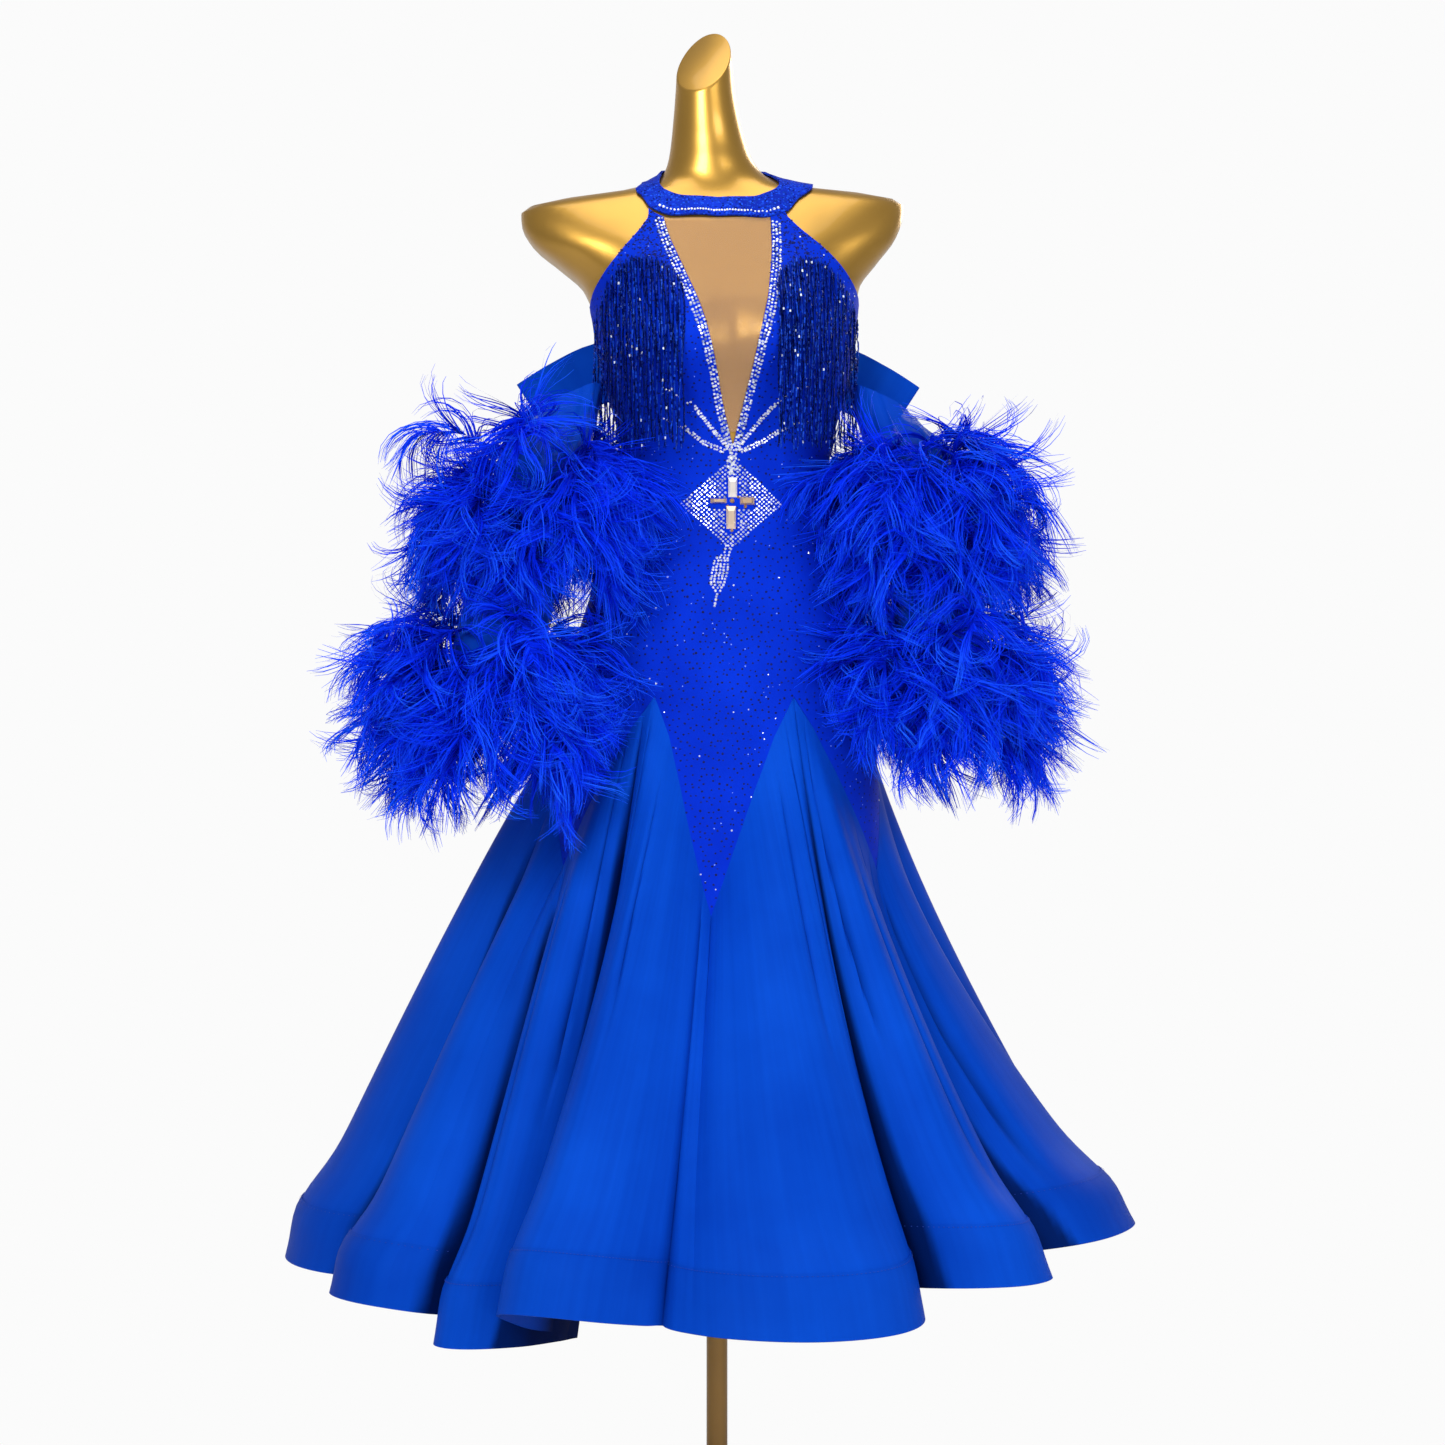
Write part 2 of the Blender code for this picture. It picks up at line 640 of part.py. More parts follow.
def skirt_surface(phi, v):
    """The skirt at cloth angle phi, from the bodice edge (v = 0) to the hem (v = 1)."""
    row, after, t, wrapped = hem_rows(phi)
    boxy = mix(1.3, 0.62, ease(0.1, 0.95, v))
    hump = max(0.0, math.sin(math.pi * t)) ** boxy
    swing = t - FOLD_UNDERCUT * math.sin(math.tau * t) / math.tau
    hem_angle = mix(row[1], after[1], swing) + row[7] * hump * v
    radius = mix(mix(row[2], after[2], t), row[4], hump)
    hem_z = mix(mix(row[3], after[3], t), row[5], hump)
    top_z = bodice_edge(phi) - EDGE_GAP
    start = bodice_point(phi, top_z, CLOTH_CLEARANCE)
    start_radius = math.hypot(start.x, start.y)
    start_angle = math.degrees(math.atan2(start.x, -start.y))
    start_angle += round((wrapped - start_angle) / 360) * 360
    kick = HEM_BAND_KICK * hump * math.exp(-(((v - 0.90) / 0.07) ** 2))
    r = mix(start_radius, radius, v ** row[6] + kick)
    spread = ease(-0.4, 1.05, 0.0)
    turned = (ease(-0.4, 1.05, v) - spread) / (ease(-0.4, 1.05, 1.0) - spread)
    a = math.radians(mix(start_angle, hem_angle, turned))
    return Vector((r * math.sin(a), -r * math.cos(a), mix(top_z, hem_z, v)))


def skirt_point(phi, v, lift):
    if v == 0:
        return bodice_point(phi, bodice_edge(phi) - EDGE_GAP, CLOTH_CLEARANCE + lift)
    column, row = POINT_ANGLE / SKIRT_COLUMNS, 1 / SKIRT_ROWS
    spot = skirt_surface(phi, v)
    normal = Vector()
    for side in (-1, 1):
        along = (skirt_surface(phi + side * column, v) - spot) * side
        for way in (-1, 1):
            if v + way * row < 1.001:
                down = (skirt_surface(phi, max(0.0, v + way * row)) - spot) * way
                normal += down.cross(along).normalized()
    return spot + normal.normalized() * lift


def seam_angle(phi, v):
    """How far a panel's side edge stays back from the seam, in cloth degrees."""
    reach = (skirt_surface(phi + 0.5, v) - skirt_surface(phi - 0.5, v)).length
    return SEAM_GAP / 2 / reach


def build_skirt():
    panels = [
        ("skirt_front_right", 0),
        ("skirt_side_right", 72),
        ("skirt_back", 144),
        ("skirt_side_left", 216),
        ("skirt_front_left", 288),
    ]
    for name, start in panels:

        def place(u, w, side, thickness, start=start):
            v = 1 - w
            first, last = seam_angle(start, v), seam_angle(start + POINT_ANGLE, v)
            return skirt_point(start + mix(first, POINT_ANGLE - last, u), v, thickness)

        cloth_panel(name, SKIRT_COLUMNS, SKIRT_ROWS, place, SKIRT_CLOTH, "satin_skirt")


def sleeve_point(which, turn, z, lift):
    """A point of the sleeve tube. Its upper rim slants down away from the body, and reaches its side seam."""
    table = LEFT_SLEEVE if which == "left" else RIGHT_SLEEVE
    _, cx, cy, across, along = smooth_rows(table, z)
    a = math.radians(turn)
    outward = -1 if which == "left" else 1
    rim = ease(table[-2][0], table[-1][0], z)
    inward = max(0.0, -outward * math.sin(a))
    seam = on_figure(90 * outward, table[-1][0] + RIM_SLANT, CLOTH_CLEARANCE + CLOTH + SEAM_GAP).x
    nearest = math.sin(math.tau * math.floor(SLEEVE_COLUMNS / 4) / SLEEVE_COLUMNS)
    reach = (abs(cx - seam) - SLEEVE_CLOTH) / nearest - across
    place = Vector((cx + (across + lift) * math.sin(a), cy - (along + lift) * math.cos(a), z))
    place.x -= outward * reach * rim * inward
    place.z -= RIM_SLANT * rim * outward * math.sin(a)
    return place


def build_sleeves():
    for which, table in (("left", LEFT_SLEEVE), ("right", RIGHT_SLEEVE)):

        def place(u, w, side, thickness, which=which, table=table):
            return sleeve_point(which, u * 360, table[round(w * (len(table) - 1))][0], thickness)

        cloth_panel(f"sleeve_{which}", SLEEVE_COLUMNS, len(table) - 1, place, SLEEVE_CLOTH, "satin_skirt")


def body_radius(angle, z):
    """Outer reach of the worn gown at this angle and height, for keeping the feathers clear of it."""
    worn = figure(angle, z)
    reach = math.hypot(worn.x, worn.y)
    if z < ARCH_Z:
        below = (ARCH_Z - z) / (ARCH_Z - 0.30)
        reach = max(reach, mix(reach, 0.455, min(1.0, below) ** 0.80))
    full = figure(angle, BUST_HEIGHT)
    fringe = ease(1.110, 1.145, z) * (1 - ease(70, 82, abs(angle)))
    return mix(reach, max(reach, math.hypot(full.x, full.y) + 0.012), fringe)


def kept_clear(place, margin):
    """Moves a point smoothly out of the gown, so that neighbours keep their order."""
    angle = math.degrees(math.atan2(place.x, -place.y))
    limit = body_radius(angle, place.z) + margin
    r = math.hypot(place.x, place.y)
    over = r - limit
    moved = limit + 0.5 * (over + math.sqrt(over * over + 4 * 0.007**2))
    return Vector((place.x * moved / r, place.y * moved / r, place.z))


def build_feathers(name, which, row, reach, drop, rise, seed):
    """One tier: a band round the sleeve, with two rows of curved locks that spring out and hang."""
    draw = random.Random(seed)
    table = LEFT_SLEEVE if which == "left" else RIGHT_SLEEVE
    low, high = table[row][0], table[row + 1][0]
    level = (low + high) / 2

    def place(u, w, side, thickness):
        lift = SLEEVE_CLOTH + LAYER_GAP + thickness
        return sleeve_point(which, u * 360, low, lift).lerp(sleeve_point(which, u * 360, high, lift), w)

    bm, outer = cloth_mesh(SLEEVE_COLUMNS, 2, place, BAND_CLOTH, whole_faces=True)
    bmesh.ops.recalc_face_normals(bm, faces=bm.faces[:])
    _, cx, cy, _, _ = smooth_rows(table, level)
    roots = [f for f in bm.faces if all(v in outer for v in f.verts)]
    middles = {f: f.calc_center_median() for f in roots}
    roots.sort(key=lambda f: (middles[f].z > level, math.atan2(middles[f].y - cy, middles[f].x - cx)))
    body_side = math.atan2(-cy, -cx)
    for root in roots:
        middle = middles[root]
        heading = math.atan2(middle.y - cy, middle.x - cx)
        off = abs(math.degrees(math.remainder(heading - body_side, math.tau)))
        if off < BODY_SIDE_GAP:
            continue
        radial = Vector((math.cos(heading), math.sin(heading), 0))
        turn = Vector((-radial.y, radial.x, 0))
        top_row = middle.z > level
        if off < 60 and not top_row:
            continue
        inner = 0.50 + 0.50 * ease(BODY_SIDE_GAP, 110, off)
        out = reach * inner * draw.uniform(0.90, 1.05) * (1.0 if top_row else 0.66)
        fall = drop * draw.uniform(0.88, 1.06) * (0.86 if top_row else 0.72)
        lift = rise * inner * draw.uniform(0.7, 1.1) * (1.0 if top_row else 0.2)
        sway = turn * draw.uniform(-0.005, 0.005)
        for _ in range(4):
            path = [
                middle + radial * out * 0.45 + Vector((0, 0, lift)),
                middle + radial * out * 0.93 + Vector((0, 0, lift - fall * 0.34)) + sway * 0.5,
                middle + radial * out + Vector((0, 0, lift - fall)) + sway,
            ]
            if max((kept_clear(p, 0.010) - p).length for p in path) < 0.008:
                break
            out *= 0.88
            fall *= 0.97
        widths = [0.0175, 0.0240, 0.0060] if top_row else [0.0130, 0.0170, 0.0050]
        grow_lock(bm, root, path, widths, turn)
    finish_object(name, bm, "feather")


def grow_lock(bm, root, path, widths, turn):
    """Extrudes a root face along a path into a tapering four-sided lock."""
    bmesh.ops.inset_individual(bm, faces=[root], thickness=0.0015, use_even_offset=True)
    middle = root.calc_center_median()
    corners = [
        (1 if (v.co - middle).dot(turn) > 0 else -1, 1 if (v.co - middle).z > 0 else -1)
        for v in root.verts
    ]
    face, last, before = root, middle, Vector((0, 0, 1))
    for k, (centre, width) in enumerate(zip(path, widths)):
        grown = bmesh.ops.extrude_discrete_faces(bm, faces=[face])["faces"][0]
        heading = (centre - last).normalized()
        if k + 1 < len(path):
            heading = (heading + (path[k + 1] - centre).normalized()).normalized()
        normal = turn.cross(heading).normalized()
        if normal.dot(before) < 0:
            normal.negate()
        for v, (across, over) in zip(grown.verts, corners):
            corner = centre + turn * across * width / 2 + normal * over * width * 0.25
            v.co = kept_clear(corner, 0.006)
        face, last, before = grown, centre, normal


def fringe_line(share):
    """Half width and height along the fringe's line, from the plunge side to the arm side."""
    return smooth_rows(FRINGE_LINE, mix(FRINGE_LINE[0][0], FRINGE_LINE[-1][0], share))


def build_fringe(name, side):
    """A narrow strip along the line, with one bead strand hung from each of its stations."""
    skin = skin_of("bodice_front")

    def place(u, w, s, thickness):
        x, z = fringe_line(u)
        before, after = fringe_line(max(0.0, u - 0.01)), fringe_line(min(1.0, u + 0.01))
        along = Vector((after[0] - before[0], after[1] - before[1])).normalized()
        x, z = x - along.y * (w - 0.5) * 0.005, z + along.x * (w - 0.5) * 0.005
        return on_skin(skin, side * x, z, LAYER_GAP + thickness)

    bm, outer = cloth_mesh(FRINGE_STRANDS, 1, place, 0.0016, whole_faces=True, under=skin)
    bmesh.ops.recalc_face_normals(bm, faces=bm.faces[:])
    roots = [f for f in bm.faces if all(v in outer for v in f.verts)]
    roots.sort(key=lambda f: side * f.calc_center_median().x)
    draw = random.Random(11)
    for k, root in enumerate(roots):
        _, z = fringe_line((k + 0.5) / FRINGE_STRANDS)
        x = root.calc_center_median().x
        grow_strand(bm, root, hanging_path(skin, x, z, draw.uniform(-0.004, 0.004)))
    finish_object(name, bm, "beads")


def grow_strand(bm, root, path):
    """Extrudes a root face down a path as a thin four-sided strand."""
    bmesh.ops.inset_individual(bm, faces=[root], thickness=0.0007, use_even_offset=True)
    middle = root.calc_center_median()
    across, out = Vector((1, 0, 0)), Vector((0, -1, 0))
    overs = [Vector((0, -0.3, 1)).normalized(), Vector((0, -1, 0.6)).normalized()]
    order = sorted(root.verts, key=lambda v: (v.co - middle).dot(across))
    corners = []
    for v in root.verts:
        pair = order[:2] if v in order[:2] else order[2:]
        corners.append((-1 if v in order[:2] else 1, 1 if v.co.z == max(p.co.z for p in pair) else -1))
    face = root
    for k, centre in enumerate([middle + Vector((0, -0.0032, 0.0004))] + path):
        grown = bmesh.ops.extrude_discrete_faces(bm, faces=[face])["faces"][0]
        over = overs[k] if k < 2 else out
        for v, (a, o) in zip(grown.verts, corners):
            v.co = centre + (across * a + over * o) * STRAND_WIDTH / 2
        face = grown


def hanging_path(skin, x, z, uneven):
    """A strand follows the bust down to its fullest level, then hangs straight."""

    def lying(level, lift):
        spot = on_skin(skin, x - smooth_rows(FIGURE, level)[5], level, 0.0)
        return Vector((x, spot.y - lift, level))

    apex = lying(BUST_HEIGHT, 0.0064)
    path = []
    if z - 0.008 > BUST_HEIGHT + 0.018:
        path.append(lying(z - 0.011, 0.0080))
    if z - 0.008 > BUST_HEIGHT + 0.045:
        path.append(lying(mix(z - 0.011, BUST_HEIGHT, 0.5), 0.0080))
    path.append(apex)
    path.append(Vector((apex.x, apex.y, FRINGE_END_Z + uneven)))
    return path


def strip_on_bodice(name, skin, start, end, width, steps=4, taper=1.0, bend=0.0):
    """A low strip of stones laid on the bodice from one (x, z) to another."""
    run = Vector((end[0] - start[0], end[1] - start[1]))
    across = Vector((-run.y, run.x)).normalized()

    def place(u, w, s, lift):
        middle = Vector(start) + run * w + across * bend * math.sin(math.pi * w)
        spot = middle + across * (u - 0.5) * width * mix(1.0, taper, w)
        return on_skin(skin, spot.x, spot.y, LAYER_GAP + lift)

    laid_on(name, 2, steps, place, TRIM_THICKNESS, skin)


def build_trims(neck):
    """A narrow band of stones down both sides of the plunge to its point, and one on the collar."""
    skin = skin_of("bodice_front")

    def place(u, w, s, lift):
        side, share = (1 if u > 0.5 else -1), abs(2 * u - 1)
        top = smooth_rows(neck, side * 0.0560)[1] - NECK_GAP - 0.003
        z = mix(PLUNGE_BOTTOM + 0.0022 - 0.0052 * w, top, share)
        x = plunge_half(z) + 0.0008 + w * 0.0075 if share > 0 else 0.0
        return on_skin(skin, side * x, z, LAYER_GAP + lift)

    laid_on("plunge_trim", 32, 1, place, TRIM_THICKNESS, skin)

    form = skin_of("dress_form")

    def collar_place(u, w, s, lift):
        step = mix(-4, 4, u)
        low = math.floor(step + 1e-6)
        share = 0.12 + 0.30 * w
        out = COLLAR_CLOTH + LAYER_GAP + lift
        ends = [collar_point(form, k * 360 / 28, share, out) for k in (low, low + 1)]
        return ends[0].lerp(ends[1], step - low)

    laid_on("collar_trim", 8, 1, collar_place, 0.0018, skin_of("collar_band"))


def stone_rise(across, up):
    """Raised stones of the ornament: a cross of four long stones round a small one."""
    upright = abs(across) < 0.0050 and 0.008 < abs(up) < 0.030
    level = abs(up) < 0.0045 and 0.008 < abs(across) < 0.026
    return STONE_HEIGHT if upright or level else 0.0


def build_ornament():
    skin = skin_of("bodice_front")

    def place(u, w, s, lift):
        across = (u - w) * LOZENGE_HALF_WIDTH
        up = (u + w - 1) * LOZENGE_HALF_HEIGHT
        rise = stone_rise(across, up) if lift > 0 else 0.0
        return on_skin(skin, across, LOZENGE_CENTRE_Z + up, LAYER_GAP + lift + rise)

    laid_on("waist_lozenge", 10, 10, place, TRIM_THICKNESS, skin)
    tail_top = LOZENGE_CENTRE_Z - LOZENGE_HALF_HEIGHT - 0.0012
    strip_on_bodice("waist_tail", skin, (-0.002, tail_top), (-0.015, 0.985), 0.011, 5, 0.25)
    strip_on_bodice("ray_left", skin, (-0.0155, 1.160), (-0.042, 1.196), 0.0055, 4, 0.60, 0.0015)
    strip_on_bodice("ray_right", skin, (0.0155, 1.160), (0.047, 1.195), 0.0055, 4, 0.60, -0.0015)

    def wide_place(u, w, s, lift):
        side, share = (1 if w > 0.5 else -1), abs(2 * w - 1)
        end = (0.076 if side > 0 else 0.062, 1.178)
        z = mix(LOWER_RAYS_Z, end[1], share**1.25) + (u - 0.5) * mix(0.0050, 0.0032, share)
        return on_skin(skin, side * end[0] * share, z, LAYER_GAP + lift)

    laid_on("rays_lower", 2, 12, wide_place, TRIM_THICKNESS, skin)


def bow_line(share):
    """Centre line of a bow loop, from the knot outwards: reach, depth behind, height."""
    table = [
        (0.00, 0.0215, 0.1180, BOW_KNOT_Z - 0.010),
        (0.30, 0.070, 0.1260, 1.2600),
        (0.60, 0.128, 0.1160, 1.2490),
        (0.80, 0.168, 0.1060, 1.2290),
        (1.00, 0.202, 0.0960, 1.2070),
    ]
    return smooth_rows(table, share)[1:]


def build_bow():
    for name, side in (("bow_loop_right", 1), ("bow_loop_left", -1)):

        def place(u, w, s, lift, side=side):
            turn = u * math.tau
            share = 0.5 - 0.5 * math.cos(turn)
            x, y, z = bow_line(share)
            ahead, behind = bow_line(min(1.0, share + 0.02)), bow_line(max(0.0, share - 0.02))
            run = Vector((ahead[0] - behind[0], 0, ahead[2] - behind[2])).normalized()
            over = Vector((-run.z, 0, run.x))
            fan = mix(0.42, 1.0, ease(0.0, 0.6, share)) * BOW_WIDTH
            puff = 0.0115 * math.sin(turn) * (0.65 + 0.35 * math.cos(math.pi * (w - 0.5)))
            centre = Vector((x, y, z)) + over * (w - 0.5) * fan
            around = Vector((-math.cos(turn) * run.x * 0.25, math.sin(turn), -math.cos(turn) * run.z * 0.25))
            centre += Vector((0, puff, 0)) + around.normalized() * lift
            return Vector((BOW_CENTRE_X + side * centre.x, centre.y, centre.z))

        cloth_panel(name, 16, 3, place, BOW_CLOTH, "satin_skirt")
    bm = bmesh.new()
    bmesh.ops.create_cube(bm, size=1.0)
    bmesh.ops.scale(bm, vec=(0.0332, 0.022, 0.040), verts=bm.verts[:])
    bmesh.ops.bevel(
        bm, geom=bm.edges[:], offset=0.006, segments=2, profile=0.5, affect="EDGES", material=-1
    )
    knot_y = figure(180, BOW_KNOT_Z).y + CLOTH_CLEARANCE + CLOTH + 0.0116
    bmesh.ops.translate(bm, vec=(BOW_CENTRE_X, knot_y, BOW_KNOT_Z - 0.012), verts=bm.verts[:])
    finish_object("bow_knot", bm, "satin_skirt")


def main():
    clear_scene()
    build_stand()
    build_form()
    build_collar()
    neck = neck_line()
    build_bodice_front(neck)
    build_bodice_back()
    build_mesh_insert(neck)
    build_skirt()
    build_sleeves()
    for tier in TIERS:
        build_feathers(*tier)
    build_fringe("fringe_right", 1)
    build_fringe("fringe_left", -1)
    build_trims(neck)
    build_ornament()
    build_bow()


main()
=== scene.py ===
"""Looks of the royal blue ballroom gown on its gold dress form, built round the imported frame."""

import math
import random
from functools import lru_cache

import bmesh
import bpy
import numpy as np
from mathutils import Matrix, Vector
from mathutils.bvhtree import BVHTree


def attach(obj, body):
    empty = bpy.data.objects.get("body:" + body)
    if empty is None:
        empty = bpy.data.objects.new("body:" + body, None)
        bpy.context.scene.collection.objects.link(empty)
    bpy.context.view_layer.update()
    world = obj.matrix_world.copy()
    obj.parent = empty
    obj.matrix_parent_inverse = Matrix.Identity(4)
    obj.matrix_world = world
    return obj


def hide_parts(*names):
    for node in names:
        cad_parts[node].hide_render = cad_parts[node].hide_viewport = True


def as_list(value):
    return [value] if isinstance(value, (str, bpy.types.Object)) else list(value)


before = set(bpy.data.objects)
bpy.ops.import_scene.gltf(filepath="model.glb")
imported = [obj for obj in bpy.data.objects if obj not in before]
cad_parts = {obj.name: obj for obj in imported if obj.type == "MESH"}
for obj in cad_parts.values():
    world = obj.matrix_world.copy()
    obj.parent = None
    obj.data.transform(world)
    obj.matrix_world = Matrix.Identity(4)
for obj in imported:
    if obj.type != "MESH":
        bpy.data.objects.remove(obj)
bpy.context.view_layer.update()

# Cloth, seams and stand, as the frame has them
CLOTH = 0.0013
SKIRT_CLOTH = 0.0015
NECK_GAP = 0.0030
CLOTH_CLEARANCE = 0.0018
EDGE_GAP = 0.0010
SHOULDER_TIP = 0.030
NECK_TOP, NECK_CUT_LOW, NECK_CUT_TURN = 1.60, 1.532, math.radians(-26)

# Figure sections: height, half width, depth in front, depth behind, squareness, shift x, shift y
FIGURE = [
    (0.58, 0.184, 0.148, 0.155, 2.0, 0.000, 0.000),
    (0.68, 0.177, 0.138, 0.150, 2.0, 0.000, 0.000),
    (0.76, 0.171, 0.126, 0.146, 2.0, 0.000, 0.000),
    (0.84, 0.165, 0.114, 0.143, 2.0, 0.001, 0.000),
    (0.92, 0.157, 0.106, 0.134, 2.0, 0.003, 0.000),
    (1.00, 0.136, 0.099, 0.111, 2.0, 0.005, 0.000),
    (1.07, 0.113, 0.091, 0.085, 2.0, 0.008, 0.000),
    (1.12, 0.104, 0.087, 0.073, 2.0, 0.010, 0.000),
    (1.17, 0.111, 0.088, 0.077, 2.0, 0.010, 0.000),
    (1.22, 0.125, 0.091, 0.089, 2.1, 0.010, 0.000),
    (1.26, 0.134, 0.094, 0.096, 2.2, 0.009, 0.000),
    (1.295, 0.138, 0.093, 0.099, 2.3, 0.008, 0.000),
    (1.325, 0.146, 0.087, 0.098, 2.5, 0.005, 0.002),
    (1.35, 0.168, 0.079, 0.093, 2.8, 0.002, 0.004),
    (1.375, 0.192, 0.070, 0.084, 3.0, -0.002, 0.006),
    (1.397, 0.202, 0.061, 0.073, 3.0, -0.004, 0.008),
    (1.409, 0.203, 0.055, 0.065, 2.9, -0.004, 0.009),
    (1.417, 0.193, 0.051, 0.060, 2.7, -0.004, 0.010),
    (1.4225, 0.168, 0.049, 0.057, 2.4, -0.004, 0.010),
    (1.4265, 0.136, 0.047, 0.055, 2.2, -0.003, 0.010),
    (1.4305, 0.104, 0.046, 0.053, 2.1, -0.003, 0.010),
    (1.436, 0.076, 0.045, 0.051, 2.0, -0.003, 0.010),
    (1.445, 0.056, 0.044, 0.049, 2.0, -0.004, 0.010),
    (1.458, 0.0465, 0.043, 0.047, 2.0, -0.006, 0.009),
    (1.475, 0.0410, 0.040, 0.043, 2.0, -0.008, 0.008),
    (1.505, 0.0350, 0.036, 0.037, 2.0, -0.011, 0.004),
    (1.540, 0.0305, 0.032, 0.032, 2.0, -0.013, 0.001),
    (1.600, 0.0270, 0.028, 0.028, 2.0, -0.014, -0.003),
]
BUST_HEIGHT, BUST_REACH, FORM_BUST_REACH, BUST_SPACING = 1.262, 0.036, 0.0335, 0.068
BUST_ABOVE, BUST_BELOW, BUST_SIDE, FORM_VALLEY = 0.066, 0.050, 0.042, 0.42

# Bodice lower edge and neckline
POINT_ANGLE, EDGE_STEP = 72.0, 9.0
FRONT_POINT_Z, SIDE_POINT_Z, ARCH_Z, ARCH_ROUNDNESS, FRONT_POINT_SHIFT = 0.668, 0.713, 0.893, 1.25, -0.016
PLUNGE = [
    (1.151, 0.0000),
    (1.197, 0.0110),
    (1.258, 0.0245),
    (1.321, 0.0415),
    (1.370, 0.0530),
    (1.393, 0.0560),
]
PLUNGE_BOTTOM, UNDERARM_Z, BACK_TOP_Z = 1.151, 1.243, 1.262
HALTER_EDGE = [
    (1.243, 0.1440),
    (1.279, 0.1430),
    (1.310, 0.1385),
    (1.330, 0.1280),
    (1.357, 0.1040),
    (1.378, 0.0830),
    (1.393, 0.0710),
]
COLLAR = [
    (0, -33.0, -22.5),
    (30, -28.5, -18.0),
    (45, -21.5, -11.0),
    (57, -11.0, -3.0),
    (70, -3.0, 5.0),
    (90, 0.5, 15.0),
    (135, 2.0, 24.0),
    (180, 4.0, 27.0),
]
COLLAR_CLOTH, COLLAR_CENTRE = 0.0022, (-0.003, 0.010, 1.435)

# Skirt folds: the valley's angle at the bodice and at the hem, its radius and hem height,
# then the next crest's radius and hem height, how the radius grows, and the crest's lean
FLUTES = [
    (-166.5, -163, 0.325, 0.300, 0.420, 0.300, 1.15, -1),
    (-139.5, -137, 0.330, 0.300, 0.430, 0.300, 1.05, -2),
    (-112.5, -111, 0.330, 0.300, 0.452, 0.304, 0.90, -3),
    (-85.5, -73, 0.340, 0.300, 0.430, 0.298, 0.90, -3),
    (-67.5, -50, 0.315, 0.275, 0.390, 0.264, 0.95, -3),
    (-40.5, -37, 0.275, 0.258, 0.415, 0.312, 1.00, -4),
    (-4.5, -12, 0.372, 0.300, 0.416, 0.293, 1.05, 4),
    (36, 29, 0.290, 0.315, 0.424, 0.326, 1.25, 4),
    (67.5, 49, 0.320, 0.335, 0.438, 0.352, 1.35, 3.5),
    (94.5, 84, 0.325, 0.330, 0.425, 0.330, 1.30, 2.5),
    (117, 113, 0.325, 0.310, 0.430, 0.310, 1.20, 1.5),
    (139.5, 140, 0.330, 0.300, 0.420, 0.300, 1.15, 0.5),
    (166.5, 166, 0.325, 0.300, 0.430, 0.300, 1.15, -0.5),
]
FOLD_UNDERCUT, HEM_BAND_KICK, HEM_BAND = 0.42, 0.050, 0.065

# Sharp folds: cloth angle at the bodice, at the hem, depth, half width in degrees, where they start and end
CREASES = [
    (-4.5, -4.5, 0.005, 0.8, 0.00, 1.25),
    (36, 36, 0.022, 1.0, 0.00, 1.25),
    (31.5, 30.0, 0.013, 0.6, 0.00, 0.78),
    (40.5, 44.5, 0.012, 0.6, 0.00, 0.66),
    (26, 22, 0.005, 0.8, 0.02, 0.60),
    (-36, -33.5, 0.012, 0.6, 0.00, 0.80),
    (-40.5, -40.5, 0.022, 1.1, 0.00, 1.25),
    (-46, -47.5, 0.010, 0.6, 0.00, 0.70),
    (-27, -21, 0.006, 0.8, 0.03, 0.60),
    (-67.5, -67.5, 0.022, 1.1, 0.10, 1.25),
    (-55, -56, 0.007, 0.8, 0.15, 0.95),
    (67.5, 67.5, 0.022, 1.0, 0.05, 1.25),
    (60, 61.5, 0.009, 0.6, 0.05, 0.85),
    (73, 75, 0.009, 0.6, 0.05, 0.90),
    (52, 53, 0.005, 0.9, 0.20, 0.90),
    (108, 108, 0.012, 0.8, 0.00, 0.75),
    (-108, -108, 0.012, 0.8, 0.00, 0.75),
    (180, 180, 0.012, 0.8, 0.00, 0.75),
    (94.5, 94.5, 0.018, 1.0, 0.05, 1.25),
    (-85.5, -85.5, 0.018, 1.0, 0.05, 1.25),
    (139.5, 139.5, 0.018, 1.0, 0.05, 1.25),
    (-139.5, -139.5, 0.018, 1.0, 0.05, 1.25),
    (166.5, 166.5, 0.014, 1.0, 0.05, 1.25),
    (-166.5, -166.5, 0.014, 1.0, 0.05, 1.25),
]

# Valleys, by their angle at the bodice, whose painted shade on the walls reaches widest at the hem
WIDE_PAINTED_SHADE_FOLDS = (67.5, -40.5)

# Sleeves: height, centre x, centre y, radius across, radius along y
LEFT_SLEEVE = [
    (0.882, -0.2400, -0.112, 0.0450, 0.0450),
    (0.932, -0.2330, -0.108, 0.0450, 0.0450),
    (0.958, -0.2270, -0.105, 0.0450, 0.0450),
    (1.040, -0.2080, -0.090, 0.0450, 0.0450),
    (1.122, -0.1890, -0.066, 0.0440, 0.0440),
    (1.148, -0.1830, -0.054, 0.0430, 0.0430),
    (1.205, -0.1680, -0.008, 0.0300, 0.0330),
]
RIGHT_SLEEVE = [
    (0.882, 0.2360, -0.078, 0.0450, 0.0450),
    (0.942, 0.2320, -0.070, 0.0450, 0.0450),
    (0.968, 0.2290, -0.065, 0.0450, 0.0450),
    (1.048, 0.2190, -0.050, 0.0450, 0.0450),
    (1.127, 0.2080, -0.030, 0.0440, 0.0440),
    (1.153, 0.2020, -0.024, 0.0430, 0.0430),
    (1.205, 0.1850, 0.000, 0.0300, 0.0330),
]
SLEEVES = {"left": LEFT_SLEEVE, "right": RIGHT_SLEEVE}
RIM_SLANT, SLEEVE_CLOTH = 0.022, 0.0012

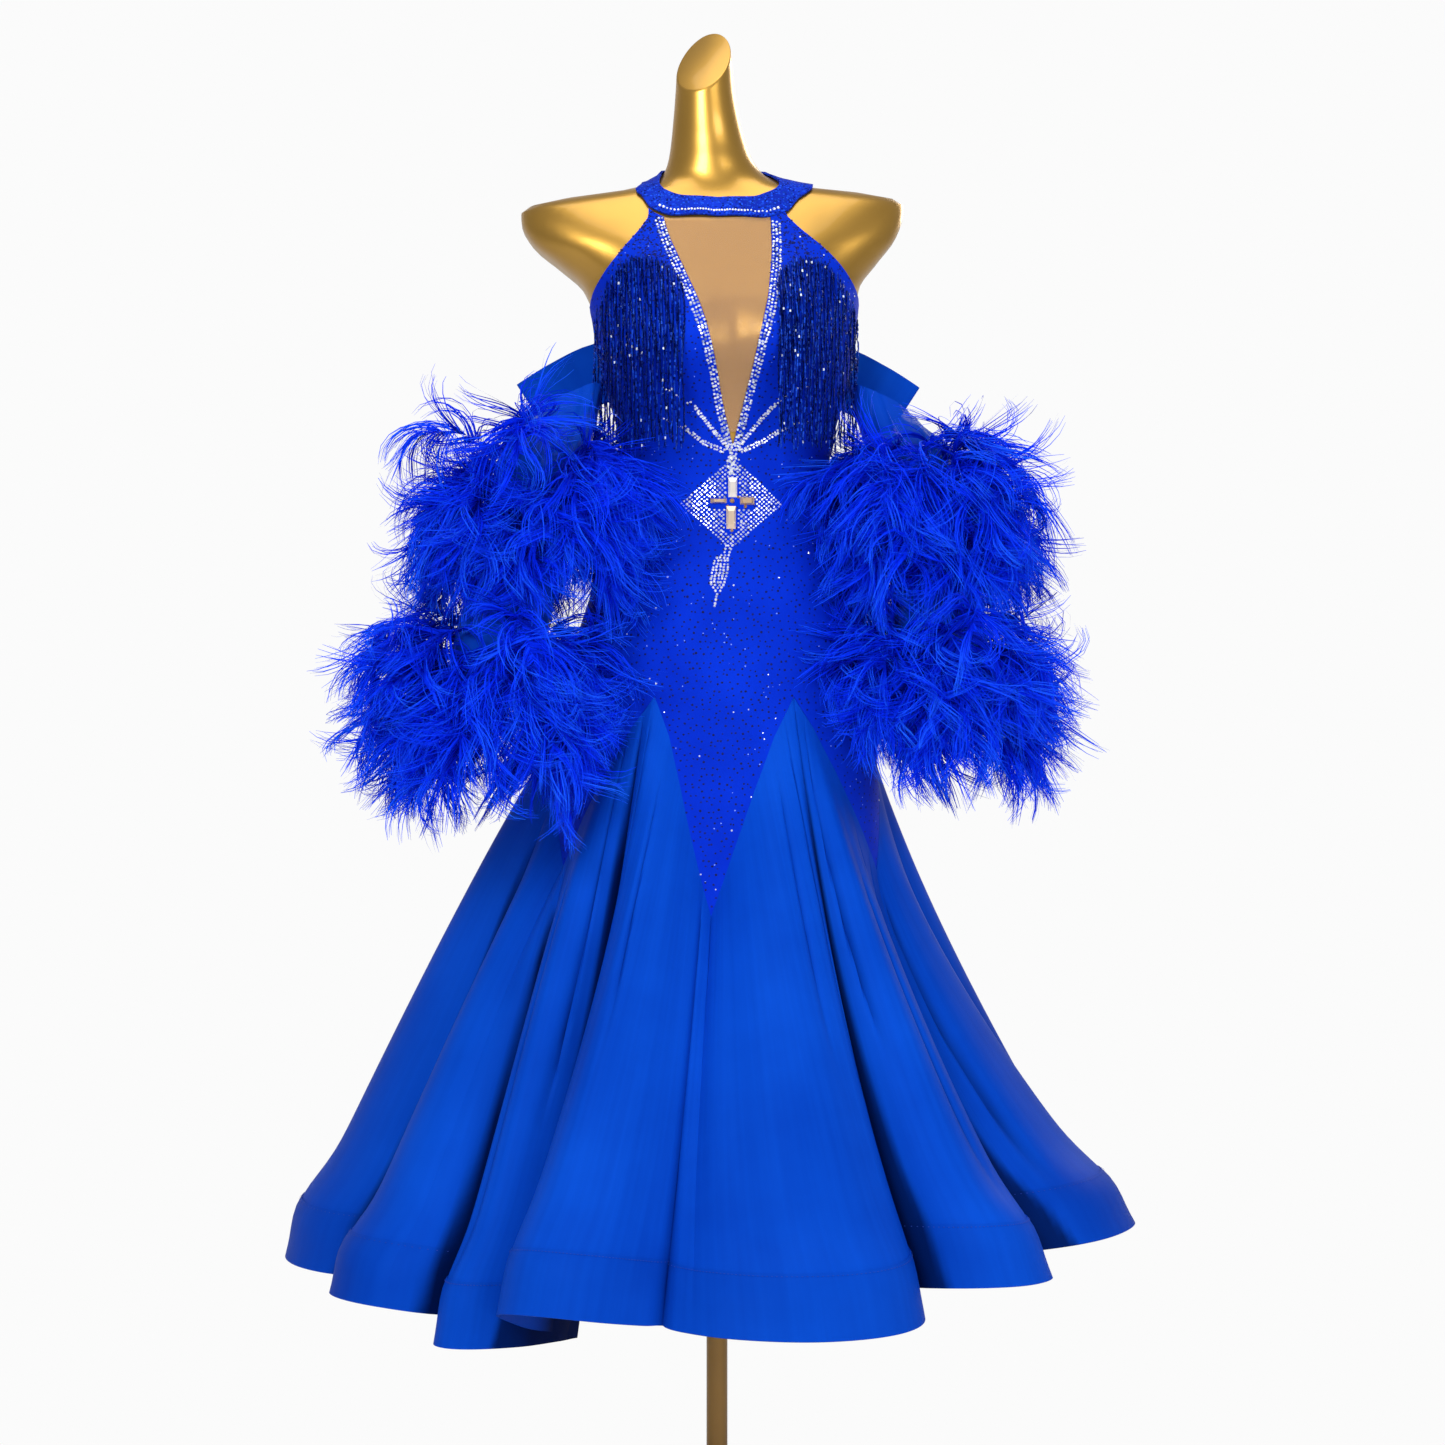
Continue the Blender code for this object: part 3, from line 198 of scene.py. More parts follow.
# Feather tiers: name, sleeve, table row of the band, quill length, seed
TIERS = [
    ("feathers_left_upper", "left", 4, 0.112, 3),
    ("feathers_left_lower", "left", 1, 0.116, 5),
    ("feathers_right_upper", "right", 4, 0.116, 7),
    ("feathers_right_lower", "right", 1, 0.100, 9),
]
PLUMES, BARBS_A_PLUME, TUFTS_A_SIDE, QUILL_STEPS, BARB_STEPS = 62, 158, 8, 12, 7
TUFT_ROOM = 40
TURN_A_PLUME = 2.39996

# Where the bead strands are sewn on: distance from the middle, height
FRINGE_LINE = [
    (0.0480, 1.316),
    (0.0550, 1.332),
    (0.0640, 1.3400),
    (0.0735, 1.3450),
    (0.0870, 1.348),
    (0.1030, 1.343),
    (0.1170, 1.330),
    (0.1280, 1.313),
    (0.1400, 1.285),
]
FRINGE_END_Z, FRINGE_STRANDS, BEAD_PITCH, BEAD_WIDTH = 1.152, 46, 0.0031, 0.0021
LOZENGE_CENTRE_Z, LOZENGE_HALF_WIDTH, LOZENGE_HALF_HEIGHT = 1.0920, 0.0550, 0.0480

# Long stones of the lozenge: place across and up from its middle, half width, half height, tone
LONG_STONES = [
    (0.0, 0.0145, 0.0048, 0.0105, 1.0),
    (-0.0004, -0.0170, 0.0052, 0.0125, 0.70),
    (-0.0140, 0.0006, 0.0088, 0.0026, 0.60),
    (0.0155, 0.0008, 0.0078, 0.0044, 0.45),
]

# Dark stones of the lozenge: place across and up from its middle, radius, tone
DARK_STONES = [
    (0.0, 0.0008, 0.0026, 0.1),
    (-0.0045, -0.0052, 0.0018, 0.0),
    (0.0140, -0.0052, 0.0019, 0.0),
    (0.0062, 0.0046, 0.0016, 0.0),
    (0.0010, -0.0300, 0.0018, 0.1),
]

# Tail of the lozenge: height, middle, half width
TAIL = [
    (0.9840, -0.0150, 0.0012),
    (1.0020, -0.0115, 0.0030),
    (1.0080, -0.0120, 0.0075),
    (1.0200, -0.0100, 0.0090),
    (1.0340, -0.0085, 0.0075),
    (1.0420, -0.0030, 0.0030),
    (1.0500, -0.0005, 0.0040),
]

# Rays: places across and up, from the plunge outwards
RAYS = [
    [(-0.0085, 1.1520), (-0.024, 1.170), (-0.040, 1.190), (-0.062, 1.206), (-0.074, 1.211)],
    [(0.0085, 1.1520), (0.024, 1.171), (0.048, 1.197), (0.064, 1.210), (0.078, 1.213)],
    [(-0.0080, 1.1440), (-0.030, 1.153), (-0.052, 1.171), (-0.072, 1.181)],
    [(0.0080, 1.1440), (0.032, 1.155), (0.062, 1.175), (0.084, 1.180)],
]
PLUNGE_ROWS, PLUNGE_PITCH, PLUNGE_STONE = (0.0019, 0.0053, 0.0087), 0.0039, 0.00158
RAY_PITCH, RAY_STONE, COLLAR_STONES, TAIL_STEP = 0.0033, 0.00145, 38, 0.0031
PANEL_CUT = (0.80, 0.60)
BOW_WIDTH, BOW_CENTRE_X, BOW_KNOT_Z = 0.064, 0.009, 1.256

# A bow loop's middle line: share of its length, distance out, depth behind, height
BOW_LINE = [
    (0.00, 0.0215, 0.1180, BOW_KNOT_Z - 0.010),
    (0.30, 0.070, 0.1260, 1.2600),
    (0.60, 0.128, 0.1160, 1.2490),
    (0.80, 0.168, 0.1060, 1.2290),
    (1.00, 0.202, 0.0960, 1.2070),
]

# Pole and base plate: radius, height
POLE_PROFILE = [
    (0.0, 0.0123),
    (0.0215, 0.0123),
    (0.022, 0.013),
    (0.022, 0.0235),
    (0.0205, 0.0250),
    (0.0111, 0.0320),
    (0.0111, 0.780),
    (0.0390, 0.7915),
    (0.040, 0.7930),
    (0.040, 0.7985),
    (0.0, 0.7996),
]
BASE_PROFILE = [
    (0.0, 0.0),
    (0.172, 0.0),
    (0.1742, 0.0008),
    (0.175, 0.003),
    (0.175, 0.009),
    (0.1741, 0.0112),
    (0.172, 0.012),
    (0.0, 0.012),
]

# Skirt panels: name, the cloth angle where each begins
PANELS = [
    ("skirt_front_right", 0),
    ("skirt_side_right", 72),
    ("skirt_back", 144),
    ("skirt_side_left", 216),
    ("skirt_front_left", 288),
]
PANEL_COLUMNS, PANEL_ROWS, HEM_ROWS, STITCHES = 144, 46, 6, 150

# Camera and lights
PHOTO_SIZE, LENS_PIXELS, VIEW_MIDDLE = 1445, 3021, 717
CAMERA_TURN, CAMERA_AWAY, CAMERA_HEIGHT = math.radians(-4), 3.2, 0.8665
LIGHTS = [
    ("key", (-1.3, -3.3, 2.3), 1.3, 78),
    ("fill", (2.0, -3.0, 1.6), 1.8, 42),
    ("top", (0.0, -0.5, 3.2), 1.6, 16),
    ("rim", (1.6, 2.2, 2.2), 1.2, 20),
]
BACKDROP_BEND_Y, BACKDROP_RADIUS = 1.6, 1.5


def smooth_rows(rows, key):
    """The row at this key, read from a smooth curve through the table's rows."""
    if key <= rows[0][0]:
        return list(rows[0])
    if key >= rows[-1][0]:
        return list(rows[-1])
    i = max(k for k in range(len(rows) - 1) if rows[k][0] <= key)
    low, high = rows[i], rows[i + 1]
    span = high[0] - low[0]
    t = (key - low[0]) / span
    before = rows[i - 1] if i > 0 else low
    after = rows[i + 2] if i + 2 < len(rows) else high
    out = []
    for c in range(len(low)):
        step = (high[c] - low[c]) / span
        back = (low[c] - before[c]) / (low[0] - before[0]) if i > 0 else step
        ahead = (after[c] - high[c]) / (after[0] - high[0]) if i + 2 < len(rows) else step
        start = 0.0 if back * step <= 0 else 2 * back * step / (back + step)
        end = 0.0 if ahead * step <= 0 else 2 * ahead * step / (ahead + step)
        out.append(
            low[c] * (2 * t**3 - 3 * t**2 + 1)
            + start * span * (t**3 - 2 * t**2 + t)
            + high[c] * (3 * t**2 - 2 * t**3)
            + end * span * (t**3 - t**2)
        )
    return out


def mix(a, b, t):
    return a + (b - a) * t


def ease(low, high, value):
    t = min(1.0, max(0.0, (value - low) / (high - low)))
    return t * t * (3 - 2 * t)


def bust_reach(x, z, cloth):
    """How far the bust stands out in front, smoothly bridged where cloth spans it."""
    fall = BUST_ABOVE if z > BUST_HEIGHT else BUST_BELOW
    upright = math.exp(-(((z - BUST_HEIGHT) / fall) ** 2))
    across = math.exp(-((max(0.0, abs(x) - BUST_SPACING) / BUST_SIDE) ** 2))
    if cloth:
        return BUST_REACH * upright * across
    return FORM_BUST_REACH * upright * across * (1 - FORM_VALLEY * math.exp(-((x / 0.030) ** 2)))


def figure(angle, z, cloth=True):
    """A point of the figure's surface at this angle in degrees and height."""
    _, half, front, back, square, shift_x, shift_y = smooth_rows(FIGURE, z)
    a = math.radians(angle)
    sine, cosine = math.sin(a), math.cos(a)
    depth = front if cosine > 0 else back
    radius = ((abs(sine) / half) ** square + (abs(cosine) / depth) ** square) ** (-1 / square)
    x, y = radius * sine, -radius * cosine
    if cosine > 0:
        y -= bust_reach(x, z, cloth) * ease(0.0, 0.35, cosine)
    lift = SHOULDER_TIP * x * ease(1.26, 1.40, z) * (1 - ease(1.44, 1.50, z))
    return Vector((x + shift_x, y + shift_y, z + lift))


def on_figure(angle, z, lift, cloth=True):
    """A point moved out from the figure along its normal."""
    along = figure(angle + 0.4, z, cloth) - figure(angle - 0.4, z, cloth)
    up = figure(angle, z + 0.002, cloth) - figure(angle, z - 0.002, cloth)
    return figure(angle, z, cloth) + along.cross(up).normalized() * lift


def angle_at(x, z):
    """The front angle at which the figure is x off its own centre line at this height."""
    low, high = 0.0, 90.0
    centre = smooth_rows(FIGURE, z)[5]
    for _ in range(18):
        middle = (low + high) / 2
        if figure(middle, z).x - centre < abs(x):
            low = middle
        else:
            high = middle
    return low if x >= 0 else -low


def arch_height(angle):
    """Height of the bodice's lower edge, which runs in arches between its points."""
    turn = angle % POINT_ANGLE
    low = FRONT_POINT_Z if round(angle / POINT_ANGLE) % 5 == 0 else SIDE_POINT_Z
    share = abs(turn - POINT_ANGLE / 2) / (POINT_ANGLE / 2)
    return ARCH_Z - (ARCH_Z - low) * share**ARCH_ROUNDNESS


def bodice_edge(angle):
    """The lower edge in the straight steps that the panels' shared seam has."""
    step = math.floor(angle / EDGE_STEP)
    return mix(arch_height(step * EDGE_STEP), arch_height((step + 1) * EDGE_STEP), angle / EDGE_STEP - step)


def bodice_point(angle, z, lift):
    """A point of the bodice, whose front point hangs a little to one side."""
    near = max(0.0, 1 - abs((angle + 180) % 360 - 180) / POINT_ANGLE)
    place = on_figure(angle, z, lift)
    place.x += FRONT_POINT_SHIFT * near * (1 - ease(FRONT_POINT_Z, ARCH_Z + 0.1, z))
    return place


@lru_cache(maxsize=None)
def hem_rows(phi):
    """The fold rows on both sides of cloth angle phi, the share between them and phi in their range."""
    rows = list(FLUTES) + [(FLUTES[0][0] + 360, FLUTES[0][1] + 360, *FLUTES[0][2:])]
    phi = (phi - FLUTES[0][0]) % 360 + FLUTES[0][0]
    i = max(k for k in range(len(rows) - 1) if rows[k][0] <= phi)
    return rows[i], rows[i + 1], (phi - rows[i][0]) / (rows[i + 1][0] - rows[i][0]), phi


@lru_cache(maxsize=None)
def skirt_top(phi):
    """Radius, angle and height of the skirt's sewn edge at cloth angle phi."""
    wrapped = hem_rows(phi)[3]
    top_z = bodice_edge(phi) - EDGE_GAP
    start = bodice_point(phi, top_z, CLOTH_CLEARANCE)
    angle = math.degrees(math.atan2(start.x, -start.y))
    return math.hypot(start.x, start.y), angle + round((wrapped - angle) / 360) * 360, top_z


@lru_cache(maxsize=None)
def crease(phi, v):
    """How deep the listed sharp folds go in."""
    depth = 0.0
    for top, hem, deep, wide, start, end in CREASES:
        off = (phi - mix(top, hem, v) + 180) % 360 - 180
        if abs(off) < 5:
            fade = ease(start, start + 0.12, v) * (1 - ease(end - 0.25, end, v))
            depth += deep * math.exp(-((off / (wide * mix(0.6, 1.25, v))) ** 2)) * fade
    return depth


def painted_fold_shade(phi, v):
    """Painted shade for the cloth's colour: 1 deep in a fold and on the wall that it shades, 0 on open cloth.
    """
    row, after, t, _ = hem_rows(phi)
    valley, inside = (row[0], t) if row[0] >= 30 else (after[0], 1 - t)
    wall = 0.0
    if abs(valley) > 30:
        reach = 0.06 + 0.05 * v + (0.10 if valley in WIDE_PAINTED_SHADE_FOLDS else 0.03) * v**3
        wall = 0.92 * (1 - ease(reach - 0.018, reach + 0.018, inside)) * ease(0.08, 0.30, v)
    return min(1.0, wall + 0.9 * (crease(phi, v) / 0.011) ** 1.5)


@lru_cache(maxsize=None)
def skirt_surface(phi, v):
    """The skirt at cloth angle phi, from the bodice edge (v = 0) to the hem (v = 1)."""
    row, after, t, _ = hem_rows(phi)
    boxy = mix(1.3, 0.62, ease(0.1, 0.95, v))
    hump = max(0.0, math.sin(math.pi * t)) ** boxy
    swing = t - FOLD_UNDERCUT * math.sin(math.tau * t) / math.tau
    hem_angle = mix(row[1], after[1], swing) + row[7] * hump * v
    radius = mix(mix(row[2], after[2], t), row[4], hump)
    hem_z = mix(mix(row[3], after[3], t), row[5], hump)
    start_radius, start_angle, top_z = skirt_top(phi)
    kick = HEM_BAND_KICK * hump * math.exp(-(((v - 0.90) / 0.07) ** 2))
    waves = 0.0014 * math.sin(math.radians(phi * 25 + 70 * v))
    waves += 0.0010 * math.sin(math.radians(phi * 40 - 50 * v))
    waves *= ease(0.0, 0.25, v) * (1 - 0.8 * ease(0.80, 0.90, v))
    sharp = crease(phi, v) * mix(0.3, 1.0, ease(0.0, 0.5, v))
    r = mix(start_radius, radius, v ** row[6] + kick) + waves - sharp
    begun, ended = ease(-0.4, 1.05, 0.0), ease(-0.4, 1.05, 1.0)
    turned = (ease(-0.4, 1.05, v) - begun) / (ended - begun)
    a = math.radians(mix(start_angle, hem_angle, turned))
    return Vector((r * math.sin(a), -r * math.cos(a), mix(top_z, hem_z, v)))


def skirt_point(phi, v, lift):
    """A point of the skirt moved out along its normal."""
    along = skirt_surface(phi + 0.4, v) - skirt_surface(phi - 0.4, v)
    up = skirt_surface(phi, max(0.0, v - 0.015)) - skirt_surface(phi, v + 0.015)
    return skirt_surface(phi, v) + along.cross(up).normalized() * lift


def sleeve_point(which, turn, z, lift):
    """A point of a sleeve, gathered round the arm and drawn to the bodice's side at its rim."""
    table = SLEEVES[which]
    _, cx, cy, across, along = smooth_rows(table, z)
    a = math.radians(turn)
    outward = -1 if which == "left" else 1
    rim = ease(table[-2][0], table[-1][0], z)
    inward = max(0.0, -outward * math.sin(a))
    seam = on_figure(90 * outward, table[-1][0] + RIM_SLANT, CLOTH_CLEARANCE + CLOTH + 0.0005).x
    reach = abs(cx - seam) - SLEEVE_CLOTH - across
    gather = 1 + 0.030 * math.sin(a * 17) * ease(1.10, 1.16, z) + 0.02 * math.sin(a * 11 + z * 40)
    x = cx + (across * gather + lift) * math.sin(a)
    y = cy - (along * gather + lift) * math.cos(a)
    place = Vector((x, y, z))
    place.x -= outward * reach * rim * inward
    place.z -= RIM_SLANT * rim * outward * math.sin(a)
    return place


@lru_cache(maxsize=None)
def body_radius(angle, z):
    """How far out the gown reaches at this angle and height, with the skirt and fringe."""
    worn = figure(angle, z)
    reach = math.hypot(worn.x, worn.y)
    if z < ARCH_Z:
        reach = max(reach, mix(reach, 0.455, min(1.0, (ARCH_Z - z) / (ARCH_Z - 0.30)) ** 0.80))
    full = figure(angle, BUST_HEIGHT)
    fringe = ease(1.110, 1.145, z) * (1 - ease(70, 82, abs(angle)))
    return mix(reach, max(reach, math.hypot(full.x, full.y) + 0.012), fringe)


# Pieces


def finished(name, bm, look, nodes=(), sharp=40, smooth=True):
    """A mesh object of the gown, riding on the part's one body."""
    mesh = bpy.data.meshes.new(name)
    bm.to_mesh(mesh)
    bm.free()
    made = bpy.data.objects.new(name, mesh)
    bpy.context.scene.collection.objects.link(made)
    mesh.materials.append(look)
    if smooth:
        mesh.shade_smooth()
        mesh.set_sharp_from_angle(angle=math.radians(sharp))
    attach(made, "root")
    if nodes:
        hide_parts(*nodes)
    return made


def laid_grid(columns, rows, place, sizes=(1.0, 1.0)):
    """A grid laid on a surface, with its flat cut as texture coordinates in metres."""
    bm = bmesh.new()
    bmesh.ops.create_grid(bm, x_segments=columns, y_segments=rows, size=0.5)
    cut = bm.loops.layers.uv.new("cut")
    across, along = bm.verts.layers.float.new("across"), bm.verts.layers.float.new("along")
    for face in bm.faces:
        for loop in face.loops:
            loop[cut].uv = ((loop.vert.co.x + 0.5) * sizes[0], (loop.vert.co.y + 0.5) * sizes[1])
    for v in bm.verts:
        v[across], v[along] = v.co.x + 0.5, v.co.y + 0.5
        v.co = place(v[across], v[along])
    bmesh.ops.remove_doubles(bm, verts=bm.verts[:], dist=1e-5)
    return bm


def thickened(bm, thickness, outward):
    """Gives a laid grid its thickness on the side where outward(point) leads."""
    bmesh.ops.recalc_face_normals(bm, faces=bm.faces[:])
    bm.normal_update()
    sample = bm.faces[:][len(bm.faces) // 2]
    sign = 1 if sample.normal.dot(outward(sample.calc_center_median())) > 0 else -1
    normals = {tuple(round(c, 7) for c in v.co): v.normal * sign for v in bm.verts}
    raised = bmesh.ops.extrude_face_region(bm, geom=bm.faces[:])
    for v in raised["geom"]:
        if isinstance(v, bmesh.types.BMVert):
            v.co += normals[tuple(round(c, 7) for c in v.co)] * thickness
    bmesh.ops.recalc_face_normals(bm, faces=bm.faces[:])
    return bm


def walled(columns, rows, place, thickness, sizes, shade=None):
    """A closed cloth wall whose two faces lie at two lifts of one surface, with a painted shade attribute
    from shade(u, w) when it is given.
    """
    bm = laid_grid(columns, rows, lambda u, w: place(u, w, 0.0), sizes)
    across, along = bm.verts.layers.float["across"], bm.verts.layers.float["along"]
    raised = bmesh.ops.extrude_face_region(bm, geom=bm.faces[:])
    for v in raised["geom"]:
        if isinstance(v, bmesh.types.BMVert):
            v.co = place(v[across], v[along], thickness)
    # painted shade of the folds, stored at each point for the satin look's colour
    if shade:
        painted_shade = bm.verts.layers.float.new("painted_shade")
        for v in bm.verts:
            v[painted_shade] = shade(v[across], v[along])
    bmesh.ops.recalc_face_normals(bm, faces=bm.faces[:])
    return bm


def strips(name, coords, look, tones, nodes=()):
    """Many narrow strips in one mesh. coords has the axes strip, column, step and coordinate."""
    count, wide, steps, _ = coords.shape
    bm = bmesh.new()
    bmesh.ops.create_grid(bm, x_segments=count * wide - 1, y_segments=steps - 1, size=0.5)
    last = count * wide - 1
    between = [f for f in bm.faces if int((f.calc_center_median().x + 0.5) * last) % wide == wide - 1]
    bmesh.ops.delete(bm, geom=between, context="FACES")
    made = finished(name, bm, look, nodes, smooth=False)
    mesh = made.data
    flat = np.zeros(len(mesh.vertices) * 3)
    mesh.vertices.foreach_get("co", flat)
    flat = flat.reshape(-1, 3)
    column = np.rint((flat[:, 0] + 0.5) * last).astype(int)
    step = np.rint((flat[:, 1] + 0.5) * (steps - 1)).astype(int)
    mesh.vertices.foreach_set("co", coords[column // wide, column % wide, step].astype(np.float32).ravel())
    tone = mesh.attributes.new("tone", "FLOAT", "POINT")
    tone.data.foreach_set("value", tones[column // wide, step].astype(np.float32))
    mesh.shade_smooth()
    mesh.update()
    return made


def tree_of(*things):
    """The surface of built objects, for laying other pieces on it."""
    corners, faces = [], []
    for thing in things:
        base = len(corners)
        corners += [v.co.copy() for v in thing.data.vertices]
        faces += [tuple(base + k for k in p.vertices) for p in thing.data.polygons]
    return BVHTree.FromPolygons(corners, faces)


def front_spot(skin, x, z):
    """The place on the front of a built piece and its normal, x being measured from the figure's centre."""
    x += smooth_rows(FIGURE, z)[5]
    spot, normal = skin.ray_cast(Vector((x, -1.0, z)), Vector((0, 1, 0)))[:2]
    if spot is None:
        return None
    return spot, (normal if normal.y < 0 else -normal)


class Stones:
    """Cut stones collected in one mesh, a batch at a time."""

    def __init__(self):
        self.whole, self.count = bmesh.new(), 0
        self.whole.verts.layers.float.new("tone")
        self.fresh()

    def fresh(self):
        self.bm = bmesh.new()
        self.tone = self.bm.verts.layers.float.new("tone")

    def gather(self):
        mesh = bpy.data.meshes.new("batch")
        self.bm.to_mesh(mesh)
        self.bm.free()
        self.whole.from_mesh(mesh)
        bpy.data.meshes.remove(mesh)
        self.fresh()

    def add(self, spot, normal, radius, tone, sides=8, stretch=1.0, turn=0.0, height=0.5, table=0.58):
        """A stone with its flat face out. table is that face's share of the radius, and 0 makes a point."""
        face = normal.to_track_quat("Z", "Y").to_matrix().to_4x4()
        square = Matrix.Rotation(math.pi / 4 if sides == 4 else 0.0, 4, "Z")
        shape = Matrix.Rotation(turn, 4, "Z") @ Matrix.Diagonal((1.0, stretch, 1.0, 1.0)) @ square
        place = Matrix.Translation(spot + normal * radius * height * 0.5) @ face @ shape
        made = bmesh.ops.create_cone(
            self.bm,
            cap_ends=table > 0,
            segments=sides,
            radius1=radius,
            radius2=radius * table,
            depth=radius * height,
            matrix=place,
        )
        for v in made["verts"]:
            v[self.tone] = tone
        self.count += 1
        if self.count % 100 == 0:
            self.gather()

    def done(self, name, slot_name, look, nodes=()):
        self.gather()
        self.bm.free()
        return finished(name, self.whole, look, nodes, smooth=False)


# Materials


def socket_group(name, inputs, outputs):
    """An empty shader group with named inputs and outputs."""
    group = bpy.data.node_groups.new(name, "ShaderNodeTree")
    for label, kind, value in inputs:
        socket = group.interface.new_socket(label, in_out="INPUT", socket_type=kind)
        socket.default_value = value
    for label, kind in outputs:
        group.interface.new_socket(label, in_out="OUTPUT", socket_type=kind)
    return group, group.nodes.new("NodeGroupInput"), group.nodes.new("NodeGroupOutput")


def grain_group():
    """Cloth grain: a fine height and a soft tone."""
    group, ins, outs = socket_group(
        "cloth_grain",
        [("Fine scale", "NodeSocketFloat", 900.0), ("Tone scale", "NodeSocketFloat", 9.0)],
        [("Height", "NodeSocketFloat"), ("Tone", "NodeSocketFloat")],
    )
    link = group.links.new
    spot = group.nodes.new("ShaderNodeTexCoord")
    fine = group.nodes.new("ShaderNodeTexNoise")
    fine.inputs["Detail"].default_value = 2.0
    soft = group.nodes.new("ShaderNodeTexNoise")
    soft.inputs["Detail"].default_value = 4.0
    for noise, scale in ((fine, "Fine scale"), (soft, "Tone scale")):
        link(spot.outputs["Object"], noise.inputs["Vector"])
        link(ins.outputs[scale], noise.inputs["Scale"])
    link(fine.outputs["Fac"], outs.inputs["Height"])
    link(soft.outputs["Fac"], outs.inputs["Tone"])
    return group


def glitter_group():
    """Small scattered stones: a mask and a random value for each."""
    group, ins, outs = socket_group(
        "glitter",
        [
            ("Scale", "NodeSocketFloat", 300.0),
            ("Size", "NodeSocketFloat", 0.35),
            ("Share", "NodeSocketFloat", 0.3),
        ],
        [("Mask", "NodeSocketFloat"), ("Random", "NodeSocketFloat")],
    )
    link = group.links.new
    spot = group.nodes.new("ShaderNodeTexCoord")
    cells = group.nodes.new("ShaderNodeTexVoronoi")
    link(spot.outputs["Object"], cells.inputs["Vector"])
    link(ins.outputs["Scale"], cells.inputs["Scale"])
    split = group.nodes.new("ShaderNodeSeparateColor")
    link(cells.outputs["Color"], split.inputs["Color"])
    near = group.nodes.new("ShaderNodeMath")
    near.operation = "LESS_THAN"
    link(cells.outputs["Distance"], near.inputs[0])
    link(ins.outputs["Size"], near.inputs[1])
    chosen = group.nodes.new("ShaderNodeMath")
    chosen.operation = "LESS_THAN"
    link(split.outputs["Red"], chosen.inputs[0])
    link(ins.outputs["Share"], chosen.inputs[1])
    both = group.nodes.new("ShaderNodeMath")
    both.operation = "MULTIPLY"
    link(near.outputs[0], both.inputs[0])
    link(chosen.outputs[0], both.inputs[1])
    link(both.outputs[0], outs.inputs["Mask"])
    link(split.outputs["Green"], outs.inputs["Random"])
    return group


GRAIN, GLITTER = grain_group(), glitter_group()


def fresh_material(name, **values):
    made = bpy.data.materials.new(name)
    made.use_nodes = True
    shader = made.node_tree.nodes["Principled BSDF"]
    for label, value in values.items():
        shader.inputs[label.replace("_", " ")].default_value = value
    return made, shader


def use_group(made, group, **values):
    node = made.node_tree.nodes.new("ShaderNodeGroup")
    node.node_tree = group
    for label, value in values.items():
        node.inputs[label.replace("_", " ")].default_value = value
    return node


def ramp(made, source, stops, target=None):
    """A colour ramp from a value to a colour socket."""
    node = made.node_tree.nodes.new("ShaderNodeValToRGB")
    while len(node.color_ramp.elements) < len(stops):
        node.color_ramp.elements.new(0.5)
    for element, (place, colour) in zip(node.color_ramp.elements, stops):
        element.position = place
        element.color = (*colour, 1.0)
    made.node_tree.links.new(source, node.inputs["Fac"])
    if target:
        made.node_tree.links.new(node.outputs["Color"], target)
    return node


def bumped(made, shader, height, strength, distance):
    node = made.node_tree.nodes.new("ShaderNodeBump")
    node.inputs["Strength"].default_value = strength
    node.inputs["Distance"].default_value = distance
    made.node_tree.links.new(height, node.inputs["Height"])
    made.node_tree.links.new(node.outputs["Normal"], shader.inputs["Normal"])
    return node


def blended(made, factor, a, b, target):
    node = made.node_tree.nodes.new("ShaderNodeMix")
    node.data_type = "RGBA"
    link = made.node_tree.links.new
    link(factor, node.inputs["Factor"])
    for source, socket in ((a, node.inputs[6]), (b, node.inputs[7])):
        if isinstance(source, tuple):
            socket.default_value = (*source, 1.0)
        else:
            link(source, socket)
    link(node.outputs[2], target)
    return node


def attribute(made, name):
    node = made.node_tree.nodes.new("ShaderNodeAttribute")
    node.attribute_name = name
    return node.outputs["Fac"]


BLUE_SHINE = (0.10, 0.30, 1.0, 1.0)


def jersey_look():
    made, shader = fresh_material(
        "royal_jersey_look", Roughness=0.65, Specular_IOR_Level=0.2, Specular_Tint=BLUE_SHINE
    )
    grain = use_group(made, GRAIN, Fine_scale=1300.0, Tone_scale=14.0)
    base = ramp(made, grain.outputs["Tone"], [(0.3, (0.001, 0.021, 0.50)), (0.7, (0.0015, 0.031, 0.62))])
    # painted glints: a small share of spots lifted to light blue, for tiny stones in the jersey catching the
    # light
    glitter = use_group(made, GLITTER, Scale=420.0, Size=0.28, Share=0.012)
    painted_glint = (0.25, 0.38, 0.95)
    blended(made, glitter.outputs["Mask"], base.outputs["Color"], painted_glint, shader.inputs["Base Color"])
    bumped(made, shader, grain.outputs["Height"], 0.35, 0.0006)
    return made


def dusted_look():
    made, shader = fresh_material(
        "dusted_jersey_look", Roughness=0.6, Specular_IOR_Level=0.2, Specular_Tint=BLUE_SHINE
    )
    grain = use_group(made, GRAIN, Fine_scale=1300.0, Tone_scale=30.0)
    base = ramp(made, grain.outputs["Tone"], [(0.3, (0.001, 0.012, 0.33)), (0.7, (0.004, 0.035, 0.62))])
    glitter = use_group(made, GLITTER, Scale=430.0, Size=0.50, Share=0.80)
    tint = ramp(made, glitter.outputs["Random"], [(0.1, (0.0004, 0.004, 0.13)), (0.95, (0.010, 0.085, 0.85))])
    mask, colour = glitter.outputs["Mask"], tint.outputs["Color"]
    blended(made, mask, base.outputs["Color"], colour, shader.inputs["Base Color"])
    bumped(made, shader, glitter.outputs["Random"], 0.5, 0.0008)
    return made


